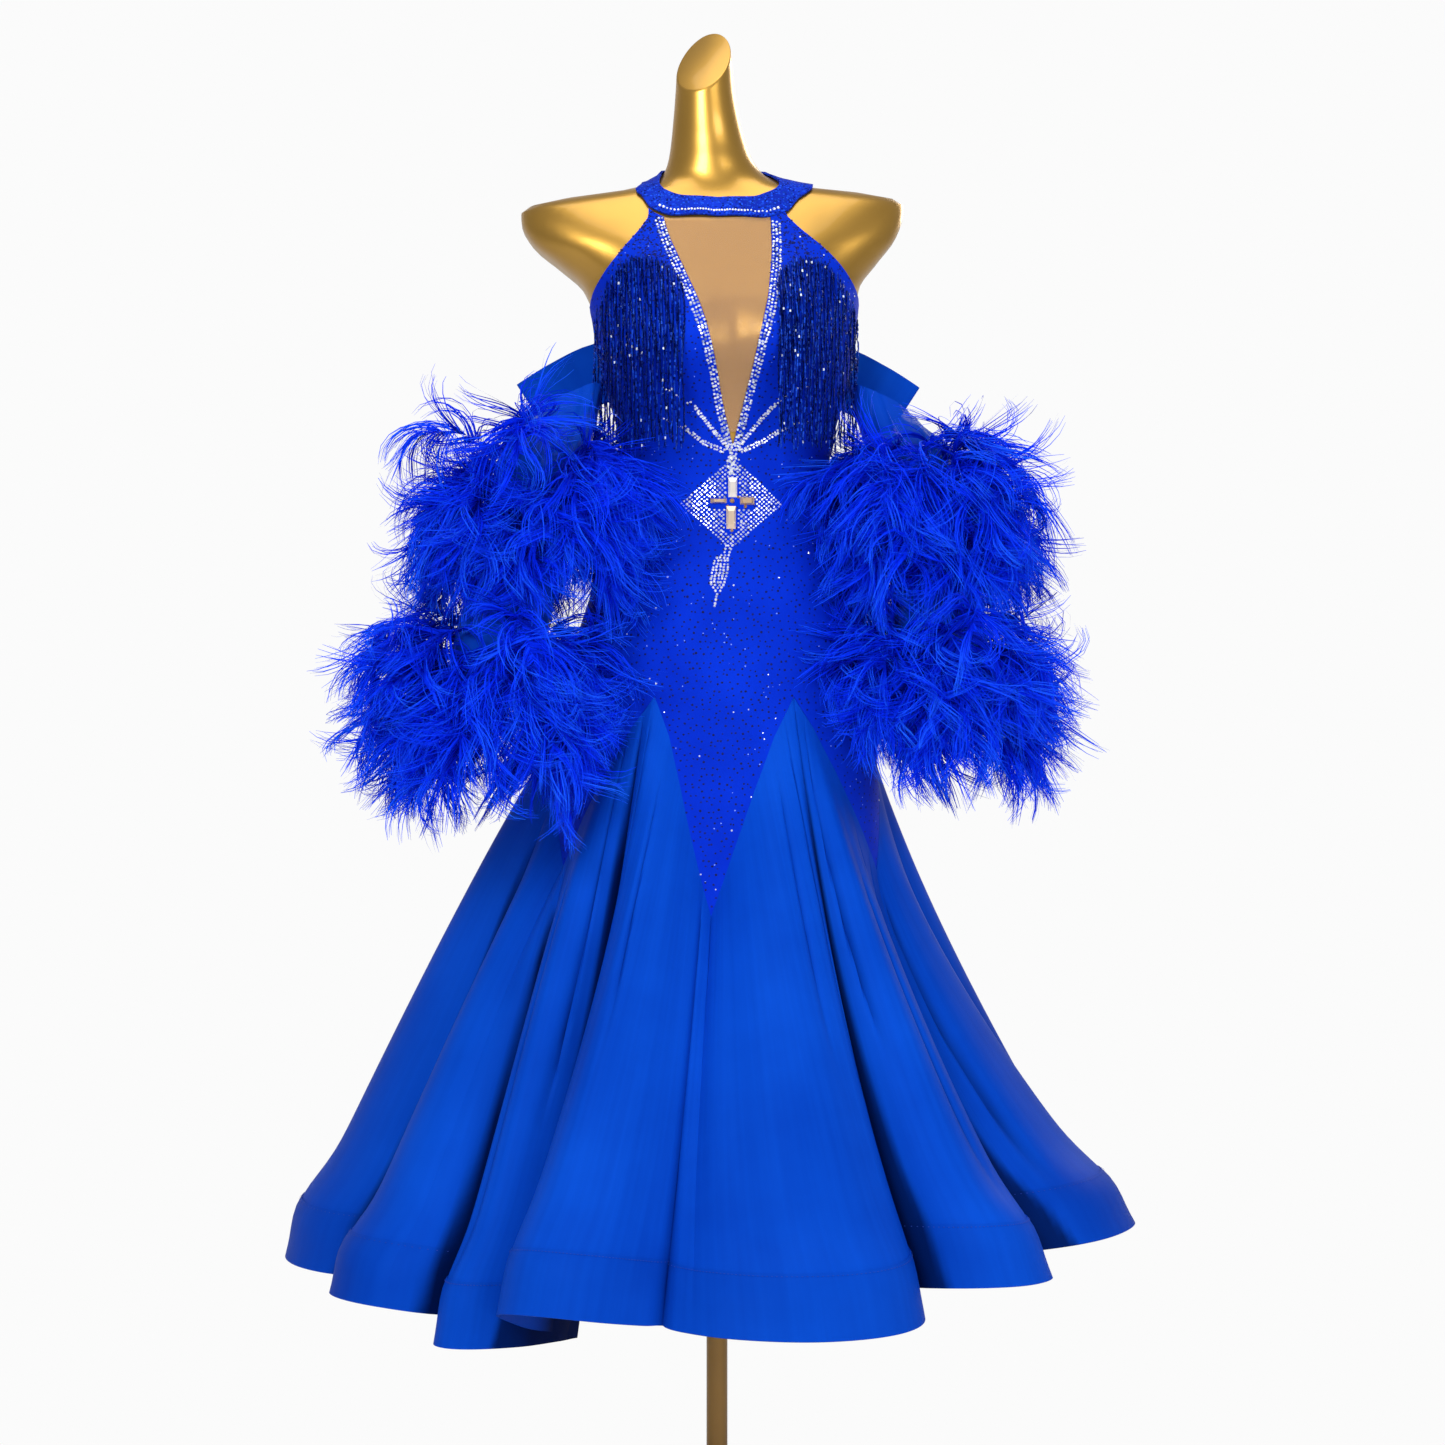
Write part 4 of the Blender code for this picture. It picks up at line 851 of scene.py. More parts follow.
def satin_look(name="satin_skirt_look", dark=(0.0012, 0.046, 0.44), light=(0.0024, 0.072, 0.58), alpha=1.0):
    """Streaky woven cloth, with painted shade: its colour darkens where the painted shade attribute is high.
    """
    made, shader = fresh_material(
        name, Roughness=0.5, Specular_IOR_Level=0.08, Specular_Tint=BLUE_SHINE, Alpha=alpha
    )
    grain = use_group(made, GRAIN, Fine_scale=1500.0, Tone_scale=6.0)
    cut = made.node_tree.nodes.new("ShaderNodeUVMap")
    cut.uv_map = "cut"
    spread = made.node_tree.nodes.new("ShaderNodeMapping")
    spread.inputs["Scale"].default_value = (90.0, 3.0, 1.0)
    streaks = made.node_tree.nodes.new("ShaderNodeTexNoise")
    streaks.inputs["Scale"].default_value = 1.0
    streaks.inputs["Detail"].default_value = 3.0
    link = made.node_tree.links.new
    link(cut.outputs["UV"], spread.inputs["Vector"])
    link(spread.outputs["Vector"], streaks.inputs["Vector"])
    both = made.node_tree.nodes.new("ShaderNodeMath")
    both.operation = "MULTIPLY_ADD"
    link(streaks.outputs["Fac"], both.inputs[0])
    both.inputs[1].default_value = 0.35
    link(grain.outputs["Tone"], both.inputs[2])
    open_cloth = ramp(made, both.outputs[0], [(0.45, dark), (0.9, light)])
    # painted shade: the dark colour cut to 0.16 for the insides of folds and the walls they shade
    inside = tuple(c * 0.16 for c in dark)
    blended(made, attribute(made, "painted_shade"), open_cloth.outputs["Color"], inside, shader.inputs["Base Color"])
    bumped(made, shader, grain.outputs["Height"], 0.25, 0.0004)
    return made


def mesh_look():
    made, shader = fresh_material("nude_mesh_look", Roughness=0.7, Specular_IOR_Level=0.1, Alpha=0.40)
    grain = use_group(made, GRAIN, Fine_scale=1700.0, Tone_scale=20.0)
    ramp(
        made,
        grain.outputs["Height"],
        [(0.35, (0.50, 0.285, 0.135)), (0.65, (0.65, 0.40, 0.225))],
        shader.inputs["Base Color"],
    )
    return made


def toned_look(name, stops, **values):
    """A look whose colour follows the tone of each barb, bead or stone."""
    made, shader = fresh_material(name, **values)
    ramp(made, attribute(made, "tone"), stops, shader.inputs["Base Color"])
    return made


def gold_look(name, colour, roughness):
    """Glossy gold lacquer, a little uneven in colour and gloss."""
    made, shader = fresh_material(name, Metallic=0.92, Coat_Weight=0.35, Coat_Roughness=0.08)
    grain = use_group(made, GRAIN, Fine_scale=420.0, Tone_scale=7.0)
    worn = tuple(c * 0.86 for c in colour)
    ramp(made, grain.outputs["Tone"], [(0.3, worn), (0.6, colour)], shader.inputs["Base Color"])
    rough = ramp(made, grain.outputs["Tone"], [(0.3, (roughness + 0.06,) * 3), (0.7, (roughness,) * 3)])
    made.node_tree.links.new(rough.outputs["Color"], shader.inputs["Roughness"])
    bumped(made, shader, grain.outputs["Height"], 0.05, 0.0005)
    return made


def thread_look():
    made, shader = fresh_material("thread_look", Roughness=0.6)
    grain = use_group(made, GRAIN, Fine_scale=2500.0, Tone_scale=60.0)
    dark, light = (0.001, 0.025, 0.32), (0.003, 0.045, 0.45)
    ramp(made, grain.outputs["Tone"], [(0.3, dark), (0.7, light)], shader.inputs["Base Color"])
    return made


# Colours by tone: share along the tone, colour
# Feather tones: the dark end is painted shade for barbs deep in a plume, the bright end painted highlight on
# the tips
FEATHER_TONES = [(0.0, (0.0003, 0.007, 0.34)), (0.40, (0.0012, 0.030, 0.95)), (1.0, (0.012, 0.13, 1.0))]
BEAD_TONES = [
    (0.0, (0.0002, 0.0015, 0.035)),
    (0.45, (0.0008, 0.009, 0.20)),
    (0.88, (0.010, 0.075, 0.68)),
    # the white end is a painted glint, given to a few beads
    (0.97, (0.80, 0.88, 1.0)),
]
# Clear stones take a random tone on this ramp, from dark blue to white: painted reflections and shade of
# their facets
CRYSTAL_TONES = [
    (0.0, (0.10, 0.16, 0.45)),
    (0.25, (0.45, 0.52, 0.70)),
    (0.7, (0.86, 0.90, 0.97)),
    (1.0, (1.0, 1.0, 1.0)),
]
CHAMPAGNE_TONES = [(0.0, (0.42, 0.22, 0.08)), (0.6, (0.80, 0.56, 0.34)), (1.0, (0.95, 0.88, 0.80))]
SAPPHIRE_TONES = [(0.0, (0.0004, 0.003, 0.055)), (0.7, (0.001, 0.010, 0.20)), (1.0, (0.006, 0.060, 0.75))]
CUT_STONE = {"Metallic": 0.35, "Coat_Weight": 1.0}

LOOKS = {
    "jersey": jersey_look(),
    "dusted": dusted_look(),
    "satin": satin_look(),
    "band": satin_look("hem_band_look", (0.0011, 0.041, 0.40), (0.0022, 0.064, 0.53)),
    "chiffon": satin_look("chiffon_look", (0.002, 0.050, 0.48), (0.004, 0.085, 0.70), 0.72),
    "mesh": mesh_look(),
    "feather": toned_look(
        "feather_look", FEATHER_TONES, Roughness=0.6, Specular_IOR_Level=0.2, Specular_Tint=BLUE_SHINE
    ),
    "beads": toned_look("bead_look", BEAD_TONES, Roughness=0.25, Specular_Tint=(0.12, 0.30, 1.0, 1.0)),
    "crystal": toned_look("crystal_look", CRYSTAL_TONES, Roughness=0.10, **CUT_STONE),
    "champagne": toned_look("champagne_look", CHAMPAGNE_TONES, Roughness=0.08, **CUT_STONE),
    "sapphire": toned_look("sapphire_look", SAPPHIRE_TONES, Roughness=0.55, Specular_IOR_Level=0.15),
    "form": gold_look("gold_form_look", (0.68, 0.38, 0.070), 0.30),
    "stand": gold_look("gold_stand_look", (0.30, 0.165, 0.045), 0.26),
    "thread": thread_look(),
}


# Dress form and stand


def neck_cut(x, y):
    """Height of the neck's slanting cut over this place."""
    toward = (x + 0.0135) * math.sin(NECK_CUT_TURN) - (y + 0.001) * math.cos(NECK_CUT_TURN)
    return (NECK_TOP + NECK_CUT_LOW) / 2 - toward / 0.028 * (NECK_TOP - NECK_CUT_LOW) / 2


def build_form():
    body_rows, neck_rows = 100, 26

    def place(u, w):
        row = w * (body_rows + neck_rows)
        if row <= body_rows:
            return figure(u * 360, mix(0.800, 1.485, row / body_rows), cloth=False)
        top = figure(u * 360, 1.57)
        z = mix(1.485, neck_cut(top.x, top.y), (row - body_rows) / neck_rows)
        foot = figure(u * 360, z)
        return Vector((foot.x, foot.y, z))

    bm = laid_grid(128, body_rows + neck_rows, place)
    for top in (False, True):
        loop = [e for e in bm.edges if e.is_boundary and (e.verts[0].co.z > 1.4) == top]
        made = bmesh.ops.holes_fill(bm, edges=loop)["faces"]
        rim = [e for f in made for e in f.edges]
        bmesh.ops.bevel(
            bm,
            geom=rim,
            offset=0.0018,
            segments=3,
            profile=0.5,
            affect="EDGES",
            material=-1,
            clamp_overlap=True,
        )
    bmesh.ops.recalc_face_normals(bm, faces=bm.faces[:])
    return finished("form_body", bm, LOOKS["form"], ["dress_form"], sharp=35)


def turned(name, profile, steps, node):
    """A piece of the stand, spun from its profile."""
    bm = bmesh.new()
    points = [bm.verts.new((r, 0.0, z)) for r, z in profile]
    edges = [bm.edges.new(pair) for pair in zip(points, points[1:])]
    bmesh.ops.spin(
        bm, geom=points + edges, cent=(0, 0, 0), axis=(0, 0, 1), angle=math.tau, steps=steps, use_merge=True
    )
    bmesh.ops.remove_doubles(bm, verts=bm.verts[:], dist=1e-6)
    bmesh.ops.recalc_face_normals(bm, faces=bm.faces[:])
    return finished(name, bm, LOOKS["stand"], [node], sharp=50)


def build_stand():
    turned("pole", POLE_PROFILE, 64, "stand_pole")
    turned("base_plate", BASE_PROFILE, 128, "stand_base")


# Bodice


def collar_point(form, turn, share, lift):
    """A point of the collar over the form: turn round the neck, share of its width, lift off the form."""
    apart = abs((turn + 180) % 360 - 180)
    _, low, high = smooth_rows(COLLAR, min(180, math.hypot(apart, 8) - 8 * max(0.0, 1 - apart / 90)))
    a, e = math.radians(turn), math.radians(mix(low, high, share))
    heading = Vector((math.sin(a) * math.cos(e), -math.cos(a) * math.cos(e), math.sin(e)))
    spot = form.ray_cast(Vector(COLLAR_CENTRE) + heading * 0.4, -heading)[0]
    outward = Vector((0.7 * math.sin(a), -math.cos(a), 0.8)).normalized()
    return spot + outward * (CLOTH_CLEARANCE + lift)


def neck_line(form):
    """Heights of the collar's lower edge, by the distance from the middle."""
    places = (-0.074, -0.064, -0.050, -0.030, 0.0, 0.030, 0.050, 0.064, 0.074)
    rows = []
    for x in places:
        low, high = -80.0, 80.0
        for _ in range(24):
            middle = (low + high) / 2
            if collar_point(form, middle, 0.0, 0.0).x - smooth_rows(FIGURE, 1.39)[5] < x:
                low = middle
            else:
                high = middle
        rows.append((x, collar_point(form, low, 0.0, 0.0).z))
    return rows


def outward_from_axis(spot):
    return Vector((spot.x, spot.y, 0.0))


def build_collar(form):
    def place(u, w):
        plump = 0.0006 * math.sin(math.pi * w)
        return collar_point(form, u * 360, w, plump)

    bm = thickened(laid_grid(160, 8, place, (0.42, 0.022)), COLLAR_CLOTH, outward_from_axis)
    return finished("collar_cloth", bm, LOOKS["dusted"], ["collar_band"])


def halter_x(z, inner):
    return smooth_rows(PLUNGE if inner else HALTER_EDGE, z)[1]


def build_bodice(neck):
    lower, upper = 46, 44
    fronts = []
    for side in (1, -1):

        def place(u, w, side=side):
            row = w * (lower + upper)
            if row <= lower:
                angle = u * 89.92
                z = mix(bodice_edge(angle), PLUNGE_BOTTOM, row / lower)
                return bodice_point(side * angle, z, CLOTH_CLEARANCE)
            top = smooth_rows(neck, side * mix(0.0560, 0.0710, u))[1] - NECK_GAP
            z = mix(PLUNGE_BOTTOM, top, (row - lower) / upper)
            inner = angle_at(halter_x(z, True), z)
            outer = 89.92 if z < UNDERARM_Z else min(89.92, angle_at(halter_x(z, False), z))
            return bodice_point(side * mix(inner, outer, u), z, CLOTH_CLEARANCE)

        fronts.append(laid_grid(40, lower + upper, place, (0.26, 0.72)))
    whole = fronts[0]
    other = bpy.data.meshes.new("half")
    fronts[1].to_mesh(other)
    fronts[1].free()
    whole.from_mesh(other)
    bpy.data.meshes.remove(other)
    bmesh.ops.remove_doubles(whole, verts=whole.verts[:], dist=1e-5)
    thickened(whole, CLOTH, outward_from_axis)
    front = finished("bodice_front_cloth", whole, LOOKS["jersey"], ["bodice_front"])

    def back_place(u, w):
        angle = mix(90.08, 269.92, u)
        top = UNDERARM_Z + (BACK_TOP_Z - UNDERARM_Z) * math.sin(math.pi * u) ** 0.7
        return on_figure(angle, mix(bodice_edge(angle), top, w), CLOTH_CLEARANCE)

    bm = thickened(laid_grid(84, 56, back_place, (0.46, 0.50)), CLOTH, outward_from_axis)
    back = finished("bodice_back_cloth", bm, LOOKS["jersey"], ["bodice_back"])
    return front, back


def build_insert(neck):
    def place(u, w):
        top = smooth_rows(neck, mix(-0.0555, 0.0555, u))[1] - NECK_GAP
        z = mix(1.166, top, w)
        edge = angle_at(halter_x(z, True) - 0.0006, z)
        return on_figure(mix(-edge, edge, u), z, CLOTH_CLEARANCE)

    bm = thickened(laid_grid(28, 40, place, (0.11, 0.24)), 0.0006, outward_from_axis)
    return finished("insert_mesh", bm, LOOKS["mesh"], ["plunge_insert"])


def scatter_bodice_stones(front, back):
    """Dark dots set unevenly over the bodice, some clear stones among them, and dusting at the halter."""
    draw = random.Random(21)
    skin = tree_of(front, back)

    def found_at(angle, z):
        spot = bodice_point(angle, z, 0.0)
        out = bodice_point(angle, z, 0.02) - spot
        spot, normal = skin.ray_cast(spot + out.normalized() * 0.012, -out.normalized(), 0.014)[:2]
        if spot is None or normal.dot(out) < 0:
            return None
        return spot, normal

    pitch, made = 0.0086, []
    for tag, low_angle, high_angle in (("front", -90, 90), ("back", 90, 270)):
        dark, clear = Stones(), Stones()
        level = 0.675
        while level < 1.385:
            level += pitch * 0.84
            girth = sum(
                (figure(a + 5, level) - figure(a, level)).length for a in range(low_angle, high_angle, 5)
            )
            across = max(1, round(girth / pitch))
            shift = draw.uniform(0, 1)
            for k in range(across):
                angle = mix(low_angle, high_angle, (k + shift + draw.uniform(-0.36, 0.36)) / across)
                z = level + draw.uniform(-0.30, 0.30) * pitch
                if z < bodice_edge(angle) + 0.004:
                    continue
                found = found_at(angle, z)
                if not found:
                    continue
                edge = math.exp((bodice_edge(angle) - z) / 0.035) * (1 - ease(25, 60, abs(angle)))
                if draw.random() < 0.012 + 0.10 * edge:
                    clear.add(*found, draw.uniform(0.0008, 0.0013), draw.uniform(0.5, 1.0), 6)
                else:
                    radius = draw.uniform(0.0010, 0.0015)
                    dark.add(*found, radius, draw.uniform(0.0, 0.5), 6, draw.uniform(0.7, 1.0), 0.0, 0.25, 0)
        if tag == "front":
            for k in range(4200):
                angle, z = draw.uniform(-75, 75), draw.uniform(1.325, 1.420)
                found = found_at(angle, z)
                if found and draw.random() < ease(1.325, 1.350, z):
                    radius = draw.uniform(0.0009, 0.0014)
                    dark.add(*found, radius, draw.uniform(0.0, 1.0), 5, 1.0, 0.0, 0.5, 0)
        dots = dark.done("bodice_dots_" + tag, "royal_jersey", LOOKS["sapphire"])
        made.append([dots, clear.done("bodice_stones_" + tag, "crystal", LOOKS["crystal"])])
    return made


# Skirt


def build_skirt():
    made = []
    for name, start in PANELS:

        def place(u, w, lift, start=start):
            return skirt_point(start + u * POINT_ANGLE, 1 - w, lift + 0.0001 * u)

        # painted shade of the folds, for the cloth's colour
        def shade(u, w, start=start):
            return painted_fold_shade(start + u * POINT_ANGLE, 1 - w)

        bm = walled(PANEL_COLUMNS, PANEL_ROWS, place, SKIRT_CLOTH, PANEL_CUT, shade)
        cloth = finished(name + "_cloth", bm, LOOKS["satin"], [name])
        made.append((cloth, build_hem(name, start)))
    return made


def build_hem(name, start):
    """The stiff band round the hem and the line of stitches along its top."""

    @lru_cache(maxsize=None)
    def band_share(phi):
        return HEM_BAND / ((skirt_surface(phi, 0.86) - skirt_surface(phi, 1.0)).length / 0.14)

    def place(u, w, lift):
        phi = start + u * POINT_ANGLE
        out = SKIRT_CLOTH + 0.0002 + 0.0006 * math.sin(math.pi * w) ** 0.3
        return skirt_point(phi, mix(1.0005, 1 - band_share(phi), w), out + lift)

    # painted shade of the folds, for the band's colour
    def shade(u, w):
        phi = start + u * POINT_ANGLE
        return painted_fold_shade(phi, mix(1.0, 1 - band_share(phi), w))

    bm = walled(PANEL_COLUMNS, HEM_ROWS, place, 0.0009, (PANEL_CUT[0], HEM_BAND), shade)
    band = finished(name + "_hem", bm, LOOKS["band"])
    stitches = Stones()
    for k in range(STITCHES):
        phi = start + (k + 0.5) * POINT_ANGLE / STITCHES
        v = 1 - band_share(phi) * 0.955
        spot = skirt_point(phi, v, SKIRT_CLOTH + 0.0016)
        out = skirt_point(phi, v, 0.02) - skirt_point(phi, v, 0.0)
        stitches.add(spot, out.normalized(), 0.0011, 0.35, 4, 0.4, 0.0, 0.35)
    thread = stitches.done(name + "_stitches", "satin_skirt", LOOKS["thread"])
    return [band, thread]


# Sleeves and feathers


def build_sleeves():
    made = []
    for which, table in SLEEVES.items():

        def place(u, w, which=which, table=table):
            z = mix(table[0][0], table[-1][0], w)
            return sleeve_point(which, u * 360, z, 0.0)

        bm = laid_grid(72, 48, place, (0.28, 0.34))
        _, cx, cy, _, _ = smooth_rows(table, 1.04)
        thickened(bm, 0.0008, lambda spot, cx=cx, cy=cy: Vector((spot.x - cx, spot.y - cy, 0)))
        name = "sleeve_" + which
        made.append(finished(name + "_cloth", bm, LOOKS["chiffon"], [name]))
    return made


CLEAR_LOW, CLEAR_STEP, CLEAR_TURN = 0.60, 0.01, 4


@lru_cache(maxsize=None)
def clear_radii():
    """How far out the gown reaches, by height and angle."""
    heights, turns = np.arange(CLEAR_LOW, 1.441, CLEAR_STEP), range(-180, 180, CLEAR_TURN)
    return np.array([[body_radius(float(a), float(z)) for a in turns] for z in heights])


def kept_clear(points, margin):
    """Feather points moved out of the gown's body."""
    table = clear_radii()
    r = np.hypot(points[..., 0], points[..., 1])
    row = np.clip((points[..., 2] - CLEAR_LOW) / CLEAR_STEP, 0, len(table) - 1.001)
    column = (np.degrees(np.arctan2(points[..., 0], -points[..., 1])) + 180) / CLEAR_TURN
    i, j, turns = row.astype(int), column.astype(int), table.shape[1]
    low = mix(table[i, j % turns], table[i, (j + 1) % turns], column - j)
    high = mix(table[i + 1, j % turns], table[i + 1, (j + 1) % turns], column - j)
    limit = mix(low, high, row - i) + margin
    over = r - limit
    moved = limit + 0.5 * (over + np.sqrt(over * over + 4 * 0.005**2))
    points[..., :2] *= np.where((r < 0.42) & (over < 0.05), moved / r, 1.0)[..., None]
    return points


def grown(starts, headings, lengths, droop, curl, steps):
    """Paths that leave along a heading, bend under their weight and curl: path, step, coordinate."""
    way = headings / np.linalg.norm(headings, axis=1, keepdims=True)
    points = [starts]
    for k in range(1, steps):
        way = way + np.cross(curl, way) * 2 * k / steps**2
        way[:, 2] -= droop / (steps - 1)
        way /= np.linalg.norm(way, axis=1, keepdims=True)
        points.append(points[-1] + way * (lengths / (steps - 1))[:, None])
    return np.stack(points, 1)


def plume_quills(draw, table, row, reach):
    """Curved quills that spring from the band on all sides, and the way out at each root."""
    low, high = table[row][0] - 0.040, table[row + 1][0] + 0.008
    heading = (np.arange(PLUMES) * TURN_A_PLUME + draw.normal(0, 0.2, PLUMES)) % math.tau
    level = draw.uniform(0.0, 1.0, PLUMES)
    centres = [smooth_rows(table, mix(low, high, v)) for v in level]
    cx, cy = np.array([c[1] for c in centres]), np.array([c[2] for c in centres])
    away = np.abs(np.degrees(np.angle(np.exp(1j * (heading - np.arctan2(cy, cx))))))
    shorter_inside = 1 - 0.22 * np.clip((away - 95) / 60, 0, 1)
    out = np.stack([np.cos(heading), np.sin(heading), 0 * heading], 1)
    rise = np.clip(draw.normal(0.95 * level - 0.45, 0.30), -1.1, 0.9)[:, None]
    roots = np.stack([cx + 0.042 * out[:, 0], cy + 0.042 * out[:, 1], mix(low, high, level)], 1)
    sideways = draw.normal(0, 0.30, PLUMES)[:, None] * np.cross(out, (0, 0, 1.0))
    quills = grown(
        roots,
        out * np.cos(rise) + np.array([0, 0, 1.0]) * np.sin(rise) + sideways,
        reach * shorter_inside * draw.uniform(0.75, 1.15, PLUMES),
        draw.uniform(1.7, 3.0, PLUMES),
        draw.normal(0, 0.45, (PLUMES, 3)),
        QUILL_STEPS,
    )
    return quills, out


def quill_frames(quills, out, plume, spot):
    """Where each barb leaves its quill, with the quill's direction there and the way up from it."""
    step = spot.astype(int)
    starts = mix(quills[plume, step], quills[plume, step + 1], (spot - step)[:, None])
    ahead = quills[plume, step + 1] - quills[plume, step]
    ahead /= np.linalg.norm(ahead, axis=1, keepdims=True)
    up = out[plume] * 0.8 + np.array([0, 0, 0.8])
    up -= ahead * np.sum(up * ahead, axis=1, keepdims=True)
    up /= np.linalg.norm(up, axis=1, keepdims=True)
    return starts, ahead, up


def plume_barbs(draw, quills, out):
    """Paths of the soft barbs, each barb's share along its quill, and its tuft's own random values."""
    per_side, count = BARBS_A_PLUME // 2, PLUMES * BARBS_A_PLUME
    plume = np.repeat(np.arange(PLUMES), BARBS_A_PLUME)
    order = np.tile(np.arange(BARBS_A_PLUME), PLUMES)
    share = 0.10 + 0.90 * ((order % per_side) + draw.uniform(0, 1, count)) / per_side
    starts, ahead, up = quill_frames(quills, out, plume, share * (QUILL_STEPS - 1.001))
    lateral = np.cross(ahead, up) * np.where(order < per_side, 1.0, -1.0)[:, None]
    half = TUFT_ROOM // 2
    tuft = plume * TUFT_ROOM + (order // per_side) * half + (order % per_side) * TUFTS_A_SIDE // per_side
    shared = draw.normal(0, 1, (PLUMES * TUFT_ROOM, 6))[tuft]
    headings = ahead * 0.55 + lateral * 0.62 + up * 0.32 + shared[:, :3] * 0.30
    headings = headings + draw.normal(0, 0.10, (count, 3))
    longest = 0.056 + 0.040 * np.sin(math.pi * np.clip(share * 0.8 + 0.1, 0, 1))
    lengths = longest * draw.uniform(0.75, 1.2, count)
    curl = shared[:, 3:] * 1.25 + draw.normal(0, 0.35, (count, 3))
    droop = np.clip(1.25 + shared[:, 1] * 0.6, 0.1, 2.6)
    paths = grown(starts, headings, lengths, droop, curl, BARB_STEPS)
    middle = np.zeros((PLUMES * TUFT_ROOM, BARB_STEPS, 3))
    np.add.at(middle, tuft, paths)
    members = np.bincount(tuft, minlength=PLUMES * TUFT_ROOM)
    middle /= np.maximum(members, 1)[:, None, None]
    gathered = 0.62 * np.linspace(0, 1, BARB_STEPS) ** 1.3
    paths = mix(paths, middle[tuft], gathered[None, :, None])
    paths[:, 1:] = kept_clear(paths[:, 1:], 0.004)
    return paths, share, shared


def build_feathers(name, which, row, reach, seed):
    """A tier of plumes: soft barbs stand off both sides of curved quills that spring from the band."""
    draw = np.random.default_rng(seed)
    paths, share, shared = plume_barbs(draw, *plume_quills(draw, SLEEVES[which], row, reach))
    count, t = len(paths), np.linspace(0, 1, BARB_STEPS)
    run = np.gradient(paths, axis=1)
    across = np.cross(run, draw.normal(size=(count, 1, 3)) + np.array([0, -0.4, 0.3]))
    across /= np.linalg.norm(across, axis=2, keepdims=True) + 1e-9
    width = draw.uniform(0.0011, 0.0019, count)[:, None] * (1.0 - 0.80 * t**1.6)
    side = across * width[..., None] / 2
    # tone rises towards the barb tips and out along the quill: painted shade inside the plume and painted
    # highlight on the tips, with random tone per tuft and per barb
    tone = 0.10 + 0.42 * t[None, :] + 0.22 * share[:, None] + shared[:, 5:] * 0.14
    tone = tone + draw.uniform(-0.12, 0.14, count)[:, None]
    coords = np.stack([paths - side, paths + side], 1)
    return strips(name + "_plumes", coords, LOOKS["feather"], np.clip(tone, 0, 1), [name])


# Fringe and stones


def strand(skin, side, k, steps, draw):
    """One bead strand that lies on the bodice down to the bust and hangs below it: its corners and tones."""
    share = (k + 0.5) / FRINGE_STRANDS
    x, top = smooth_rows(FRINGE_LINE, mix(FRINGE_LINE[0][0], FRINGE_LINE[-1][0], share))[:2]
    front = k % 2
    x, top = side * x, top + (0.002 if front else -0.001)
    end = FRINGE_END_Z + draw.uniform(-0.010, 0.010) + (0.0 if front else 0.004)
    layer = 0.0046 if front else 0.0016
    spin = draw.uniform(0, math.tau, steps // 2)
    world_x = x + smooth_rows(FIGURE, top)[5]
    heights, depths = np.linspace(top, BUST_HEIGHT, 9), []
    for z in heights:
        found = front_spot(skin, world_x - smooth_rows(FIGURE, z)[5], z)
        depths.append(found[0].y if found else figure(85 * side, z).y)
    corners, length = np.zeros((4, steps, 3)), top - end
    for s in range(steps):
        z = top - length * (s // 2 + (0.12 if s % 2 == 0 else 0.88)) / (steps // 2)
        if z > BUST_HEIGHT:
            y = np.interp(z, heights[::-1], depths[::-1])
        else:
            y = depths[-1] + 0.010 * ease(0, 1, (BUST_HEIGHT - z) / 0.11)
        drift = 0.0012 * math.sin(k * 2.4 + z * 60)
        radius = BEAD_WIDTH / 2 * (1.0 if 0 < s < steps - 1 else 0.5)
        for c in range(4):
            a = math.tau * (c % 3) / 3 + spin[s // 2]
            corners[c, s] = (world_x + drift + radius * math.cos(a), y - layer + radius * math.sin(a), z)
    # back strands get 0.30 of the tone: painted shade behind the front strands
    per_bead = draw.uniform(0.35, 0.95, steps // 2) * draw.uniform(0.55, 0.95) * (1.0 if front else 0.30)
    # a few beads set to tone 1: painted white glints
    per_bead[draw.random(steps // 2) < (0.016 if front else 0.004)] = 1.0
    return corners, np.repeat(per_bead, 2)


def build_fringe(skin):
    made = []
    for name, side in (("fringe_right", 1), ("fringe_left", -1)):
        draw = np.random.default_rng(31 + side)
        steps = 2 * int(0.200 / BEAD_PITCH)
        strands = [strand(skin, side, k, steps, draw) for k in range(FRINGE_STRANDS)]
        coords, tones = (np.stack(part) for part in zip(*strands))
        made.append(strips(name + "_strands", coords, LOOKS["beads"], tones, [name]))
    return made


def lay_line(stones, skin, points, pitch, radius, draw, tone=(0.35, 1.0), gone=0.0):
    """Stones at an uneven pitch along a line of (x, z) points on the front, fewer of them towards its end."""
    points = [Vector(p) for p in points]
    whole, done = sum((b - a).length for a, b in zip(points, points[1:])), 0.0
    for a, b in zip(points, points[1:]):
        count = max(1, round((b - a).length / pitch))
        for k in range(count):
            share = (k + 0.5 + draw.uniform(-0.26, 0.26)) / count
            spot = a.lerp(b, share) + Vector((draw.uniform(-0.12, 0.12), draw.uniform(-0.12, 0.12))) * pitch
            along = (done + (b - a).length * share) / whole
            if draw.random() < gone * ease(0.45, 0.75, along):
                continue
            found = front_spot(skin, spot.x, spot.y)
            if found:
                size = radius * draw.uniform(0.85, 1.12) * (1 - 0.35 * gone * ease(0.5, 1.0, along))
                stones.add(*found, size, draw.uniform(*tone), 8, draw.uniform(0.85, 1.0))
        done += (b - a).length


